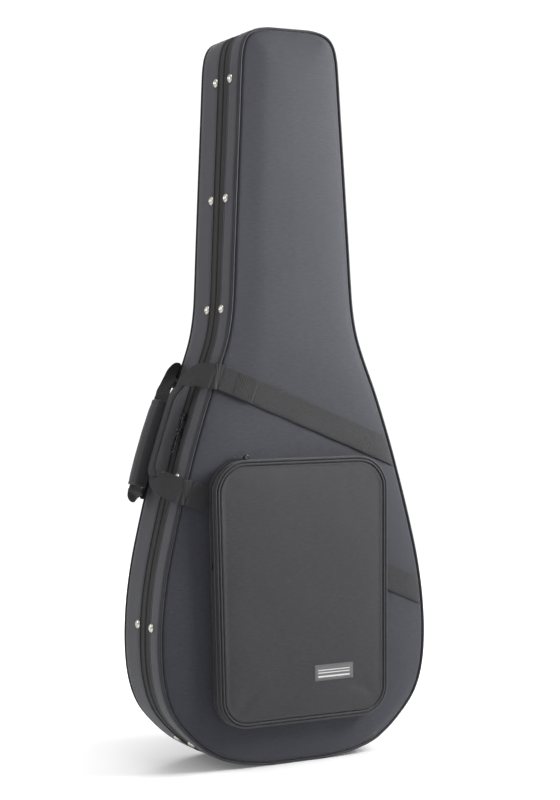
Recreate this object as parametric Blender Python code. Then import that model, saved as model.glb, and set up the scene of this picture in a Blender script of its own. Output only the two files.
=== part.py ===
"""Padded gig bag: two foam-lined half shells, side-hinged, with zip, handles, pocket and back straps.

Units are metres in the scene; the constants below are millimetres. X is width, -Y the front, +Z up.
"""

import math

import bmesh
import bpy
from mathutils import Matrix, Vector

MM = 0.001

# Half outline of the case, half width and height, from the flat foot round to the flat top.
HALF_OUTLINE = [
    (45, 0), (88, 5), (126, 15.5), (150, 29), (175, 50), (200, 78),
    (214, 105), (222, 137), (225, 170), (225, 205), (221.5, 250), (214, 298),
    (203.5, 345), (190, 398), (172, 462), (157, 510), (141, 557), (122, 606),
    (110.5, 642), (104, 680), (101, 722), (98.5, 770), (93, 870), (87, 975),
    (84, 1030), (82, 1056), (77.5, 1076), (69, 1089), (55, 1096.5), (35, 1100),
]

FRONT_Y = -67.5
REAR_Y = 67.5
PARTING_Y = -12.0
PARTING_GAP = 0.2
EDGE_CHAMFER = 6.6
COVER_THICK = 1.0
FIT_GAP = 0.3
FOAM_WALL = 18.0
REAR_FOAM_BACK = 14.2
LID_FOAM_FRONT = 12.2
LINING_THICK = 1.2
RIM_THICK = 1.0
TAPE_WIDTH = 17.3
PIPING_RADIUS = 1.8
HINGE_AXIS = (228.0, PARTING_Y, 205.0)
SPINE_FIRST, SPINE_LAST = 6, 11

WEBBING_WIDTH = 38.0
WEBBING_THICK = 1.6
UPPER_STRIP = (530.5, -0.41)
LOWER_STRIP = (337.5, -0.43)

POCKET_TOP, POCKET_BOTTOM = 459.0, 64.0
POCKET_HALF_TOP, POCKET_HALF_BOTTOM = 146.0, 142.0
POCKET_RADIUS_TOP, POCKET_RADIUS_BOTTOM = 50.0, 45.0
POCKET_FRONT_Y = -92.5
POCKET_ZIP_Y = -80.0
POCKET_SPLIT_Z = 308.0

STUD_HEIGHTS = (1025, 847, 682, 434, 216, 39)
STUD_RADIUS = 6.75
STUD_FRONT_Y, STUD_REAR_Y = -36.8, 12.8

# The carry handles sit on the left wall around this height, with the wall's own slope there.
HANDLE_Z = 505.0
WALL_TILT = math.radians(18.5)
GRIP_HALF_LENGTH = 66.0
# The handle sags, so its grip hangs lower than the middle of its sewn ends.
GRIP_MIDDLE, GRIP_Y, GRIP_RISE = 33.0, 31.0, 28.5

CASE = bpy.data.collections.new("gig_bag")
CUTTERS = bpy.data.collections.new("cutters")
CUTTERS.hide_render = True

COLORS = {
    "cover": ((0.060, 0.064, 0.074), 0.9, 0.0),
    "foam": ((0.30, 0.30, 0.31), 0.95, 0.0),
    "plush": ((0.045, 0.045, 0.050), 1.0, 0.0),
    "piping": ((0.030, 0.031, 0.034), 0.6, 0.0),
    "tape": ((0.018, 0.018, 0.020), 0.85, 0.0),
    "webbing": ((0.050, 0.050, 0.050), 0.85, 0.0),
    "pocket": ((0.052, 0.052, 0.056), 0.9, 0.0),
    "nickel": ((0.72, 0.70, 0.66), 0.25, 1.0),
    "gunmetal": ((0.05, 0.05, 0.055), 0.35, 1.0),
    "grip": ((0.030, 0.030, 0.032), 0.7, 0.0),
    "plastic": ((0.02, 0.02, 0.02), 0.45, 0.0),
    "label": ((0.62, 0.62, 0.62), 0.8, 0.0),
}


def clear_scene():
    for old in list(bpy.data.objects):
        bpy.data.objects.remove(old, do_unlink=True)
    bpy.context.scene.collection.children.link(CASE)
    bpy.context.scene.collection.children.link(CUTTERS)


def material(name, look):
    color, roughness, metallic = COLORS[look]
    made = bpy.data.materials.new(name)
    made.use_nodes = True
    shader = made.node_tree.nodes["Principled BSDF"]
    shader.inputs["Base Color"].default_value = (*color, 1.0)
    shader.inputs["Roughness"].default_value = roughness
    shader.inputs["Metallic"].default_value = metallic
    made.diffuse_color = (*color, 1.0)
    return made


def add_object(name, mesh, look, origin=(0, 0, 0)):
    """Link the mesh, drawn in world millimetres, with its origin at the given point."""
    at = Vector(origin) * MM
    mesh.transform(Matrix.Translation(-at) @ Matrix.Scale(MM, 4))
    made = bpy.data.objects.new(name, mesh)
    made.location = at
    if look is None:
        made.hide_render = True
        made.display_type = "WIRE"
        CUTTERS.objects.link(made)
    else:
        mesh.materials.append(material(name, look))
        CASE.objects.link(made)
    return made


def mesh_from(name, shape):
    bmesh.ops.recalc_face_normals(shape, faces=shape.faces)
    mesh = bpy.data.meshes.new(name)
    shape.to_mesh(mesh)
    shape.free()
    return mesh


def loft(name, loops, look, origin=(0, 0, 0), cyclic=False):
    """One closed body through loops of equal length; open runs are capped at both ends."""
    shape = bmesh.new()
    made = [[shape.verts.new(point) for point in loop] for loop in loops]
    pairs = list(zip(made, made[1:]))
    if cyclic:
        pairs.append((made[-1], made[0]))
    for first, second in pairs:
        for i in range(len(first)):
            j = (i + 1) % len(first)
            shape.faces.new((first[i], first[j], second[j], second[i]))
    if not cyclic:
        shape.faces.new(made[0])
        shape.faces.new(made[-1])
    return add_object(name, mesh_from(name, shape), look, origin)


def inset(points, depth):
    """The closed outline moved inwards by depth, corner by corner."""
    moved = []
    for i, point in enumerate(points):
        before = (point - points[i - 1]).normalized()
        after = (points[(i + 1) % len(points)] - point).normalized()
        normal = Vector((-before.y, before.x)) + Vector((-after.y, after.x))
        normal.normalize()
        reach = depth / max(0.3, normal.dot(Vector((-before.y, before.x))))
        moved.append(point + normal * reach)
    return moved


def ring(outline, y, depth):
    return [Vector((point.x, y, point.y)) for point in inset(outline, depth)]


def rings(outline, section):
    return [ring(outline, y, depth) for y, depth in section]


def piping_section(y, depth, sides=6):
    turn = [2 * math.pi * i / sides for i in range(sides)]
    return [(y + PIPING_RADIUS * math.cos(a), depth + PIPING_RADIUS * math.sin(a)) for a in turn]


def case_outline():
    right = [Vector(point) for point in HALF_OUTLINE]
    left = [Vector((-x, z)) for x, z in reversed(HALF_OUTLINE)]
    return right + left


def pocket_outline(steps=5):
    """Rounded, slightly tapered rectangle, counter-clockwise as seen from the front."""
    corners = [
        (POCKET_HALF_BOTTOM, POCKET_BOTTOM, POCKET_RADIUS_BOTTOM, -90),
        (POCKET_HALF_TOP, POCKET_TOP, POCKET_RADIUS_TOP, 0),
        (-POCKET_HALF_TOP, POCKET_TOP, POCKET_RADIUS_TOP, 90),
        (-POCKET_HALF_BOTTOM, POCKET_BOTTOM, POCKET_RADIUS_BOTTOM, 180),
    ]
    points = []
    for x, z, radius, start in corners:
        middle = Vector((x - math.copysign(radius, x), z - (radius if z > 200 else -radius)))
        for i in range(steps + 1):
            angle = math.radians(start + 90 * i / steps)
            points.append(middle + radius * Vector((math.cos(angle), math.sin(angle))))
    return points


OUTLINE = case_outline()
POCKET = pocket_outline()


def wall_at(height):
    """Point of the left wall at this height."""
    left = OUTLINE[len(OUTLINE) // 2:]
    for upper, lower in zip(left, left[1:]):
        if lower.y <= height <= upper.y:
            return upper.lerp(lower, (upper.y - height) / (upper.y - lower.y))
    raise ValueError("no wall at this height")


def seat_at(height, reach):
    """Point just clear of the left wall for a disc of this reach, and the wall's outward normal."""
    span = [wall_at(height + reach * share) for share in (-1, -0.5, 0, 0.5, 1)]
    along = (span[0] - span[-1]).normalized()
    normal = Vector((along.y, -along.x))
    middle = span[2]
    rise = max((point - middle).dot(normal) for point in span)
    return middle + normal * (rise + FIT_GAP), normal


def frame(origin, along, out):
    """Matrix of a small fitting: local X along the zip, local Z away from the cloth."""
    side = out.cross(along)
    matrix = Matrix((along, side, out)).transposed().to_4x4()
    matrix.translation = origin
    return matrix


def prism(name, splines, half_thick, look, matrix=Matrix(), origin=(0, 0, 0)):
    """Flat plate from closed 2D outlines in local XY; a second outline inside the first is a hole."""
    curve = bpy.data.curves.new(name, "CURVE")
    curve.dimensions = "2D"
    curve.fill_mode = "BOTH"
    curve.extrude = half_thick
    for points in splines:
        spline = curve.splines.new("POLY")
        spline.points.add(len(points) - 1)
        for target, point in zip(spline.points, points):
            target.co = (point[0], point[1], 0, 1)
        spline.use_cyclic_u = True
    drawn = bpy.data.objects.new(name, curve)
    CASE.objects.link(drawn)
    bpy.context.view_layer.update()
    graph = bpy.context.evaluated_depsgraph_get()
    mesh = bpy.data.meshes.new_from_object(drawn.evaluated_get(graph))
    bpy.data.objects.remove(drawn, do_unlink=True)
    shape = bmesh.new()
    shape.from_mesh(mesh)
    bmesh.ops.remove_doubles(shape, verts=shape.verts, dist=0.001)
    bmesh.ops.transform(shape, matrix=matrix, verts=shape.verts)
    bpy.data.meshes.remove(mesh)
    return add_object(name, mesh_from(name, shape), look, origin)


def box(name, low, high, look, matrix=Matrix(), origin=(0, 0, 0)):
    corners = [(low[0], low[1]), (high[0], low[1]), (high[0], high[1]), (low[0], high[1])]
    loops = [[matrix @ Vector((x, y, z)) for x, y in corners] for z in (low[2], high[2])]
    return loft(name, loops, look, origin)


def combine(target, cutter, operation):
    modifier = target.modifiers.new(cutter.name, "BOOLEAN")
    modifier.object = cutter
    modifier.operation = operation
    modifier.solver = "EXACT"


def rounded(length, width, radius, steps=3):
    """Rounded rectangle from x = 0 to length, centred on y = 0."""
    half = width / 2
    corners = [
        (length - radius, -half + radius, -90), (length - radius, half - radius, 0),
        (radius, half - radius, 90), (radius, -half + radius, 180),
    ]
    points = []
    for x, y, start in corners:
        for i in range(steps + 1):
            angle = math.radians(start + 90 * i / steps)
            points.append((x + radius * math.cos(angle), y + radius * math.sin(angle)))
    return points


# ---------------------------------------------------------------- half shells


def half_shell(prefix, face_y, foam_floor, origin):
    """Cover, foam, lining, rim and piping of one half; face_y is its outer face."""
    side = 1 if face_y > 0 else -1
    parting = PARTING_Y + side * PARTING_GAP
    tape_edge = parting + side * TAPE_WIDTH
    bend_y = face_y - side * EDGE_CHAMFER

    def skin(depth):
        """Face and wall corner of the chamfered edge, moved inwards by depth."""
        step = side * depth * math.sqrt(2)
        inner_face = face_y - side * depth
        return (inner_face, EDGE_CHAMFER - depth + abs(step)), (bend_y + side * depth - step, depth)

    outer_face, outer_wall = (face_y, EDGE_CHAMFER), (bend_y, 0)
    inner_face, inner_wall = skin(COVER_THICK)
    cover = [
        outer_face, outer_wall, (tape_edge + side * FIT_GAP, 0),
        (tape_edge + side * FIT_GAP, COVER_THICK), inner_wall, inner_face,
    ]
    loft(prefix + "_cover", rings(OUTLINE, cover), "cover", origin)

    foam_out = COVER_THICK + FIT_GAP
    foam_in = foam_out + FOAM_WALL
    foam_face, foam_wall = skin(foam_out)
    foam_front = parting + side * (RIM_THICK + FIT_GAP)
    floor_y = foam_face[0] - side * foam_floor
    foam = [foam_face, foam_wall, (foam_front, foam_out), (foam_front, foam_in), (floor_y, foam_in)]
    loft(prefix + "_foam", rings(OUTLINE, foam), "foam", origin)

    lining_out = foam_in + FIT_GAP
    lining_in = lining_out + LINING_THICK
    lining_floor = floor_y - side * FIT_GAP
    lining = [
        (lining_floor, lining_out), (foam_front, lining_out), (foam_front, lining_in),
        (lining_floor - side * LINING_THICK, lining_in),
    ]
    loft(prefix + "_lining", rings(OUTLINE, lining), "plush", origin)

    rim_back = parting + side * RIM_THICK
    rim = [(parting, foam_out), (rim_back, foam_out), (rim_back, lining_in), (parting, lining_in)]
    loft(prefix + "_rim", rings(OUTLINE, rim), "piping", origin, cyclic=True)

    seat = (PIPING_RADIUS + FIT_GAP) / math.sqrt(2)
    piping = piping_section(face_y - side * (EDGE_CHAMFER / 2 - seat), EDGE_CHAMFER / 2 - seat)
    loft(prefix + "_piping", rings(OUTLINE, piping), "piping", origin, cyclic=True)

    count = len(OUTLINE)
    run = [i % count for i in range(SPINE_LAST, count + SPINE_FIRST + 1)]
    tape = [(parting, 0), (tape_edge, 0), (tape_edge, COVER_THICK), (parting, COVER_THICK)]
    rails = rings(OUTLINE, tape)
    loft(prefix + "_zip_tape", [[rail[i] for rail in rails] for i in run], "tape", origin)


def spine_hinge():
    """Uncut cloth on the right wall that joins the two halves."""
    reach = PARTING_GAP + TAPE_WIDTH
    section = [
        (PARTING_Y - reach, 0), (PARTING_Y + reach, 0),
        (PARTING_Y + reach, COVER_THICK), (PARTING_Y - reach, COVER_THICK),
    ]
    rails = rings(OUTLINE, section)
    loops = [[rail[i] for rail in rails] for i in range(SPINE_FIRST, SPINE_LAST + 1)]
    for end, inner in ((0, 1), (-1, -2)):
        loops[end] = [a + (b - a).normalized() * 0.4 for a, b in zip(loops[end], loops[inner])]
    loft("spine_hinge", loops, "cover", HINGE_AXIS)


def edge_clip(name, y):
    """Flat region inside the piping, used to trim the straps sewn across a face."""
    loops = rings(OUTLINE, [(y - 6, EDGE_CHAMFER + 0.6), (y + 6, EDGE_CHAMFER + 0.6)])
    return loft(name, loops, None)


def strip_matrix(line, y):
    """Local X along the strap that crosses the face at the given height and slope."""
    height, slope = line
    along = Vector((1, 0, slope)).normalized()
    return frame(Vector((0, y, height)), along, Vector((0, 1, 0)))


def strap_across(name, line, y, clip, origin):
    matrix = strip_matrix(line, y)
    half = WEBBING_WIDTH / 2
    low, high = (-300, -half, -WEBBING_THICK / 2), (300, half, WEBBING_THICK / 2)
    made = box(name, low, high, "webbing", matrix, origin)
    combine(made, clip, "INTERSECT")


def studs(prefix, y, origin):
    profile = [(STUD_RADIUS, 0.0), (STUD_RADIUS, 1.0), (5.2, 2.6), (2.2, 3.3)]
    for number, height in enumerate(STUD_HEIGHTS, 1):
        base, normal = seat_at(height, STUD_RADIUS)
        out = Vector((normal.x, 0, normal.y))
        along = Vector((0, 1, 0))
        matrix = frame(Vector((base.x, y, base.y)), along, out)
        loops = []
        for radius, rise in profile:
            turn = [2 * math.pi * i / 10 for i in range(10)]
            points = [Vector((radius * math.cos(a), radius * math.sin(a), rise)) for a in turn]
            loops.append([matrix @ point for point in points])
        loft(f"{prefix}_stud_{number}", loops, "nickel", origin)


def neck_cradle():
    """Foam block with a U notch that carries the instrument's neck."""
    profile = [
        (-66, 49.8), (66, 49.8), (66, 8), (36, 8), (31, 14), (28, 33),
        (-28, 33), (-31, 14), (-36, 8), (-66, 8),
    ]
    loops = [[Vector((x, y, z)) for x, y in profile] for z in (900, 955)]
    loft("neck_cradle", loops, "plush")


def neck_strap():
    box("neck_strap", (-52, 5.4, 912), (52, 7.6, 943), "webbing", origin=(-52, 6.5, 927.5))


# ---------------------------------------------------------------- pocket


def pocket(origin):
    flap_axis = (0, POCKET_FRONT_Y, POCKET_SPLIT_Z)
    wall = 1.2
    base_y = FRONT_Y - FIT_GAP
    zip_back = POCKET_ZIP_Y + 0.15
    gusset = [(base_y, 0), (zip_back, 0), (zip_back, wall), (base_y, wall)]
    made = loft("pocket_gusset", rings(POCKET, gusset), "pocket", origin, cyclic=True)
    half = WEBBING_WIDTH / 2 + 0.5
    strap_y = FRONT_Y - FIT_GAP - WEBBING_THICK / 2
    notch_low, notch_high = (-300, -half, -WEBBING_THICK / 2 - 0.4), (300, half, 3)
    notch = box("gusset_notch", notch_low, notch_high, None, strip_matrix(LOWER_STRIP, strap_y))
    combine(made, notch, "DIFFERENCE")

    front, zip_front = POCKET_FRONT_Y, POCKET_ZIP_Y - 0.15
    diagonal = wall * math.sqrt(2)
    pan = [
        (front, EDGE_CHAMFER), (front + EDGE_CHAMFER, 0), (zip_front, 0), (zip_front, wall),
        (front + EDGE_CHAMFER - wall + diagonal, wall),
        (front + wall, EDGE_CHAMFER - wall + diagonal),
    ]
    seat = (PIPING_RADIUS + FIT_GAP) / math.sqrt(2)
    bead = piping_section(front + EDGE_CHAMFER / 2 - seat, EDGE_CHAMFER / 2 - seat)
    below = box("below_zip_end", (-200, -120, 0), (200, -60, POCKET_SPLIT_Z - 0.2), None)
    above = box("above_zip_end", (-200, -120, POCKET_SPLIT_Z + 0.2), (200, -60, 600), None)
    for suffix, half_space, at in (("lower", below, origin), ("flap", above, flap_axis)):
        panel = loft(f"pocket_{suffix}_panel", rings(POCKET, pan), "pocket", at)
        combine(panel, half_space, "INTERSECT")
        edge = loft(f"pocket_{suffix}_piping", rings(POCKET, bead), "piping", at, cyclic=True)
        combine(edge, half_space, "INTERSECT")
    box("pocket_label", (14, front - 1.0, 124), (80, front - 0.3, 148), "label", origin=origin)


# ---------------------------------------------------------------- zip fittings


def slider_and_pull(prefix, centre, along, out, scale, pull_length):
    """Zip slider with its arch, and a pull whose end bar lies under the arch."""
    matrix = frame(centre, along, out)
    axis_height = 6.4 * scale
    axis = matrix @ Vector((0, 0, axis_height))
    low, high = (-5.5 * scale, -4.5 * scale, 0.5), (5.5 * scale, 4.5 * scale, 5.4 * scale)
    body = box(prefix + "_slider", low, high, "gunmetal", matrix, centre)
    outer = [(-3.6, 4.6), (3.6, 4.6), (3.6, 8.0), (2.8, 8.9), (-2.8, 8.9), (-3.6, 8.0)]
    window = [(-2.3, 5.2), (2.3, 5.2), (2.3, 7.6), (-2.3, 7.6)]
    upright = matrix @ Matrix.Rotation(math.radians(90), 4, "X") @ Matrix.Scale(scale, 4)
    arch = prism(prefix + "_arch", [outer, window], 1.2, None, upright)
    combine(body, arch, "UNION")
    plate = [(x - 0.65, y) for x, y in rounded(pull_length / scale, 6.6, 2.2)]
    plate[8:] = [(-0.65, 3.0), (-0.65, -3.0)]
    hole = [(0.65, -1.75), (5.2, -1.75), (5.2, 1.75), (0.65, 1.75)]
    flat = Matrix.Translation(axis - centre) @ matrix @ Matrix.Scale(scale, 4)
    prism(prefix + "_pull", [plate, hole], 0.55, "gunmetal", flat, axis)


def handle_frame():
    along = Vector((-math.sin(WALL_TILT), 0, -math.cos(WALL_TILT)))
    out = Vector((-math.cos(WALL_TILT), 0, math.sin(WALL_TILT)))
    at = wall_at(HANDLE_Z)
    return Vector((at.x, 0, at.y)), along, out


def handle_point(t, y, n):
    centre, along, out = handle_frame()
    return centre + along * t + out * n + Vector((0, y, 0))


def ribbon(name, stations, look, origin):
    """Webbing through stations of (t, y, n), width direction in (t, y), half width, half thickness."""
    loops = []
    for i, (middle, wide, half, thick) in enumerate(stations):
        before = Vector(stations[max(i - 1, 0)][0])
        after = Vector(stations[min(i + 1, len(stations) - 1)][0])
        travel = (after - before).normalized()
        across = Vector((*wide, 0)).normalized()
        across = (across - travel * across.dot(travel)).normalized()
        up = across.cross(travel).normalized()
        middle = Vector(middle)
        corners = [
            middle + across * half + up * thick, middle - across * half + up * thick,
            middle - across * half - up * thick, middle + across * half - up * thick,
        ]
        loops.append([handle_point(*corner) for corner in corners])
    loft(name, loops, look, origin)


def handles():
    front_loop = [
        ((-85, -66, 0.9), (1, 0), 19, 1.1),
        ((-84, -52, 4.5), (1, 0), 19, 1.1),
        ((-80, -36, 10.5), (1, 0), 18.5, 1.1),
        ((-72, -21, 16), (0.97, -0.24), 17, 1.2),
        ((-60, -8, 20.5), (0.8, -0.6), 13.5, 1.6),
        ((-47, 1, 23), (0.3, -0.95), 9.5, 2.2),
        ((-34, 4, 24), (0, -1), 8, 2.4),
        ((60, 4, 24), (0, -1), 8, 2.4),
        ((72, 1, 23), (-0.3, -0.95), 10, 2.2),
        ((81, -8, 20.5), (-0.8, -0.6), 14.5, 1.6),
        ((86, -21, 16), (-0.98, -0.2), 18, 1.2),
        ((87, -36, 10), (-1, 0), 19, 1.1),
        ((86, -52, 3.8), (-1, 0), 19, 1.1),
        ((85, -66, -0.1), (-1, 0), 19, 1.1),
    ]
    ribbon("front_handle_webbing", front_loop, "webbing", handle_point(0, -66, 1))

    rear_loop = [
        ((-88, 65, 0.9), (1, 0), 19, 1.1),
        ((-88, 59, 7), (1, 0), 19, 1.1),
        ((-83, 51, 15), (1, 0), 17, 1.1),
        ((-70, 43, 22), (0.94, 0.34), 15, 1.2),
        ((-58, 36, 26), (0.707, 0.707), 13, 1.8),
        ((-47, 32, 28), (0.2, 0.98), 12, 2.3),
        ((-38, GRIP_Y, GRIP_RISE), (0, 1), 12, 2.5),
        ((103, GRIP_Y, GRIP_RISE), (0, 1), 12, 2.5),
        ((110, 32.5, 27), (0.1, 1), 12, 2.3),
        ((113.5, 38, 22), (0.3, 0.95), 12, 1.8),
        ((111.5, 45, 16), (0.6, 0.8), 12.5, 1.3),
        ((105, 51, 11.5), (0.87, 0.5), 13.5, 1.1),
        ((97.5, 56, 8), (1, 0.2), 15, 1.1),
        ((92, 60.5, 4.6), (1, 0.05), 17, 1.1),
        ((90.5, 65, 0.9), (1, 0), 18, 1.1),
    ]
    ribbon("rear_handle_webbing", rear_loop, "webbing", handle_point(0, 66, 1))

    def oval(t, half_y, half_n):
        points = []
        for i in range(12):
            angle = 2 * math.pi * (i + 0.5) / 12
            c, s = math.cos(angle), math.sin(angle)
            bulge = max(abs(c), abs(s)) ** 0.25
            points.append(handle_point(t, GRIP_Y + half_y * c / bulge, GRIP_RISE + half_n * s / bulge))
        return points

    top, foot = GRIP_MIDDLE - GRIP_HALF_LENGTH, GRIP_MIDDLE + GRIP_HALF_LENGTH
    wrap = [
        oval(top, 14.6, 5.0), oval(top, 16.0, 10.0), oval(top + 9, 16.4, 11.6),
        oval(foot - 9, 16.4, 11.6), oval(foot, 16.0, 10.0), oval(foot, 14.6, 5.0),
    ]
    loft("grip_wrap", wrap, "grip", handle_point(0, 66, 1), cyclic=True)


def zip_fittings():
    centre, along, out = handle_frame()
    for prefix, t, length in (("upper", -17.0, 17.0), ("lower", 6.5, 34.0)):
        slider_and_pull(prefix, centre + along * t + Vector((0, PARTING_Y, 0)), along, out, 1.0, length)
    at = Vector((-88, POCKET_ZIP_Y, POCKET_TOP))
    slider_and_pull("pocket", at, Vector((-1, 0, 0)), Vector((0, 0, 1)), 0.8, 21.0)


# ---------------------------------------------------------------- back straps


STRAP_TOP = (-49, 718)
STRAP_FOOT = (-124, 173)
STRAP_AXIS_TOP = (-28, 719)
STRAP_AXIS_FOOT = (-108, 173)
PAD_PATH = [
    ((-51, 716), 19, 2.2), ((-60, 680), 24, 5.0), ((-77, 630), 27, 6.0), ((-97, 570), 28, 6.0),
    ((-113, 500), 28, 6.0), ((-121, 430), 27, 6.0), ((-124, 370), 22, 5.0), ((-124, 348), 18, 3.0),
]
TAIL_PATH = [((-124, 306), 12.5, 0.9), ((-126, 240), 12.5, 0.9), ((-124, 175), 12.5, 0.9)]
STRAP_BACK_Y = 70.2


def flat_strap(name, path, look, mirror, origin, base_y):
    """Strap lying on the back: stations of (x, z), half width and half thickness."""
    loops = []
    for i, ((x, z), half, thick) in enumerate(path):
        before = Vector(path[max(i - 1, 0)][0])
        after = Vector(path[min(i + 1, len(path) - 1)][0])
        travel = (after - before).normalized()
        across = Vector((-travel.y, travel.x))
        loop = []
        for side, lift in ((1, 0), (1, 2), (-1, 2), (-1, 0)):
            point = Vector((x, z)) + across * half * side
            loop.append(Vector((mirror * point.x, base_y + lift * thick, point.y)))
        loops.append(loop)
    loft(name, loops, look, origin)


def back_straps():
    for suffix, mirror in (("left", 1), ("right", -1)):
        axis_x = mirror * (STRAP_AXIS_TOP[0] + STRAP_AXIS_FOOT[0]) / 2
        axis = (axis_x, 69.8, (STRAP_AXIS_TOP[1] + STRAP_AXIS_FOOT[1]) / 2)
        flat_strap(f"strap_pad_{suffix}", PAD_PATH, "pocket", mirror, axis, STRAP_BACK_Y)
        flat_strap(f"strap_tail_{suffix}", TAIL_PATH, "webbing", mirror, axis, STRAP_BACK_Y)
        upright = frame(Vector((mirror * -124, 0, 344)), Vector((0, 0, -1)), Vector((0, 1, 0)))
        upright.translation.y = STRAP_BACK_Y + 2.5
        frame_outline = rounded(36, 36, 4)
        slots = [[(8, -13.5), (14, -13.5), (14, 13.5), (8, 13.5)],
                 [(21, -13.5), (27, -13.5), (27, 13.5), (21, 13.5)]]
        prism(f"ladder_lock_{suffix}", [frame_outline, *slots], 2.2, "plastic", upright, axis)
        for part, (x, z), size in (("top", STRAP_TOP, 20), ("foot", STRAP_FOOT, 14)):
            step = 24 if part == "top" else -14
            low = (mirror * x - size, REAR_Y + FIT_GAP, min(z, z + step))
            high = (mirror * x + size, REAR_Y + FIT_GAP + 1.6, max(z, z + step))
            box(f"strap_{part}_patch_{suffix}", low, high, "webbing")


def main():
    clear_scene()
    half_shell("rear", REAR_Y, REAR_FOAM_BACK, (0, 0, 0))
    half_shell("lid", FRONT_Y, LID_FOAM_FRONT, HINGE_AXIS)
    spine_hinge()
    front_clip = edge_clip("front_clip", FRONT_Y)
    rear_clip = edge_clip("rear_clip", REAR_Y)
    lift = FIT_GAP + WEBBING_THICK / 2
    strap_across("lid_webbing_upper", UPPER_STRIP, FRONT_Y - lift, front_clip, HINGE_AXIS)
    strap_across("lid_webbing_lower", LOWER_STRIP, FRONT_Y - lift, front_clip, HINGE_AXIS)
    strap_across("rear_webbing_upper", UPPER_STRIP, REAR_Y + lift, rear_clip, (0, 0, 0))
    strap_across("rear_webbing_lower", LOWER_STRIP, REAR_Y + lift, rear_clip, (0, 0, 0))
    studs("lid", STUD_FRONT_Y, HINGE_AXIS)
    studs("rear", STUD_REAR_Y, (0, 0, 0))
    neck_cradle()
    neck_strap()
    pocket(HINGE_AXIS)
    handles()
    zip_fittings()
    back_straps()


main()
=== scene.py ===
"""Looks of the padded gig bag: cloth, foam, zips, studs, handles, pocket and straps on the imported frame.

Shapes are drawn in millimetres (X across, -Y to the front, Z up) and scaled to metres when a piece is finished.
Cloth carries a UV map named "weave" whose unit is a metre, so every thread keeps its real size.
"""

import math
from bisect import bisect_right

import bmesh
import bpy
from bpy.props import FloatProperty, FloatVectorProperty, PointerProperty
from mathutils import Matrix, Vector, noise


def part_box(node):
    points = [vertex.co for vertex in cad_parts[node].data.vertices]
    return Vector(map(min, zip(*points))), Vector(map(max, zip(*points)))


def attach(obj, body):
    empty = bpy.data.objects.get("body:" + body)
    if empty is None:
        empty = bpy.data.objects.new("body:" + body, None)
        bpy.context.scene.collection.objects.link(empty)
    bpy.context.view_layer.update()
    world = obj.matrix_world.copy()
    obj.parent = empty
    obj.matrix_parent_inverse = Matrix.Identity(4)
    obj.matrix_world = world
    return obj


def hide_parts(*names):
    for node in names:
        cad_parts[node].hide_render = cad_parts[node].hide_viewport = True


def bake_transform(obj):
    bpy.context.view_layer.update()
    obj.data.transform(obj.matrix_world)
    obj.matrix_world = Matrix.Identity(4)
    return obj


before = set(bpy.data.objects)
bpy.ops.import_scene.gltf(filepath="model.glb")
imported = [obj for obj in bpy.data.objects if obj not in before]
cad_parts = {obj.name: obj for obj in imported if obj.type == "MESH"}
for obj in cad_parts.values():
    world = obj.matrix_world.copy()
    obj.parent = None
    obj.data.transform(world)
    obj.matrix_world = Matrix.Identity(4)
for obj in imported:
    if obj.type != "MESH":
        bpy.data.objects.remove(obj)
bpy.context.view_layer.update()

bl_info = {
    "name": "Padded gig bag",
    "version": (1, 0, 0),
    "blender": (4, 5, 0),
    "location": "3D View > Sidebar > Gig bag",
    "description": "Cloth, zips, handles, pocket and straps of a padded gig bag, built on its packed frame",
    "category": "Add Mesh",
}

MM = 0.001

# Half outline of the case: half width and height, from the flat foot round to the flat top.
HALF_OUTLINE = [
    (45, 0), (88, 5), (126, 15.5), (150, 29), (175, 50), (200, 78),
    (214, 105), (222, 137), (225, 170), (225, 205), (221.5, 250), (214, 298),
    (203.5, 345), (190, 398), (172, 462), (157, 510), (141, 557), (122, 606),
    (110.5, 642), (104, 680), (101, 722), (98.5, 770), (93, 870), (87, 975),
    (84, 1030), (82, 1056), (77.5, 1076), (69, 1089), (55, 1096.5), (35, 1100),
]
FACE_DEPTH, PARTING = 67.5, -12.0
SPINE_LOW, SPINE_HIGH = 105.0, 298.0
WEBBING_HALF = 19.0
UPPER_STRIP, LOWER_STRIP = (530.5, -0.41), (337.5, -0.43)
STUD_HEIGHTS = (1025, 847, 682, 434, 216, 39)
STUD_ROWS = {"lid": -36.8, "rear": 12.8}
POCKET_LOW, POCKET_HIGH = 64.0, 459.0
POCKET_HALF_LOW, POCKET_HALF_HIGH = 142.0, 146.0
POCKET_ROUND_LOW, POCKET_ROUND_HIGH = 45.0, 50.0
POCKET_FRONT, POCKET_ZIP, POCKET_FOLD = -92.5, -80.0, 308.0
# The neck's front slopes up from its handle side. Height where that starts, height over which it comes in,
# share of the half width that slopes, and its rise.
NECK_START, NECK_BLEND, NECK_BAND, NECK_RISE = 480.0, 150.0, 0.55, 4.2
MIDDLE = Vector((0, 0, 500))
BODY_OF = {"lid": "lid", "rear": "rear_shell"}


# ---------------------------------------------------------------- outlines


def smooth_run(points, steps):
    """Points of a smooth curve through the given ones, with that many steps between two of them."""
    run = []
    for i in range(len(points) - 1):
        a, b, c, d = (points[min(max(i + k, 0), len(points) - 1)] for k in (-1, 0, 1, 2))
        for k in range(steps):
            t = k / steps
            run.append(0.5 * (2 * b + (c - a) * t + (2 * a - 5 * b + 4 * c - d) * t * t
                              + (3 * b - a - 3 * c + d) * t ** 3))
    run.append(points[-1].copy())
    return run


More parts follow.
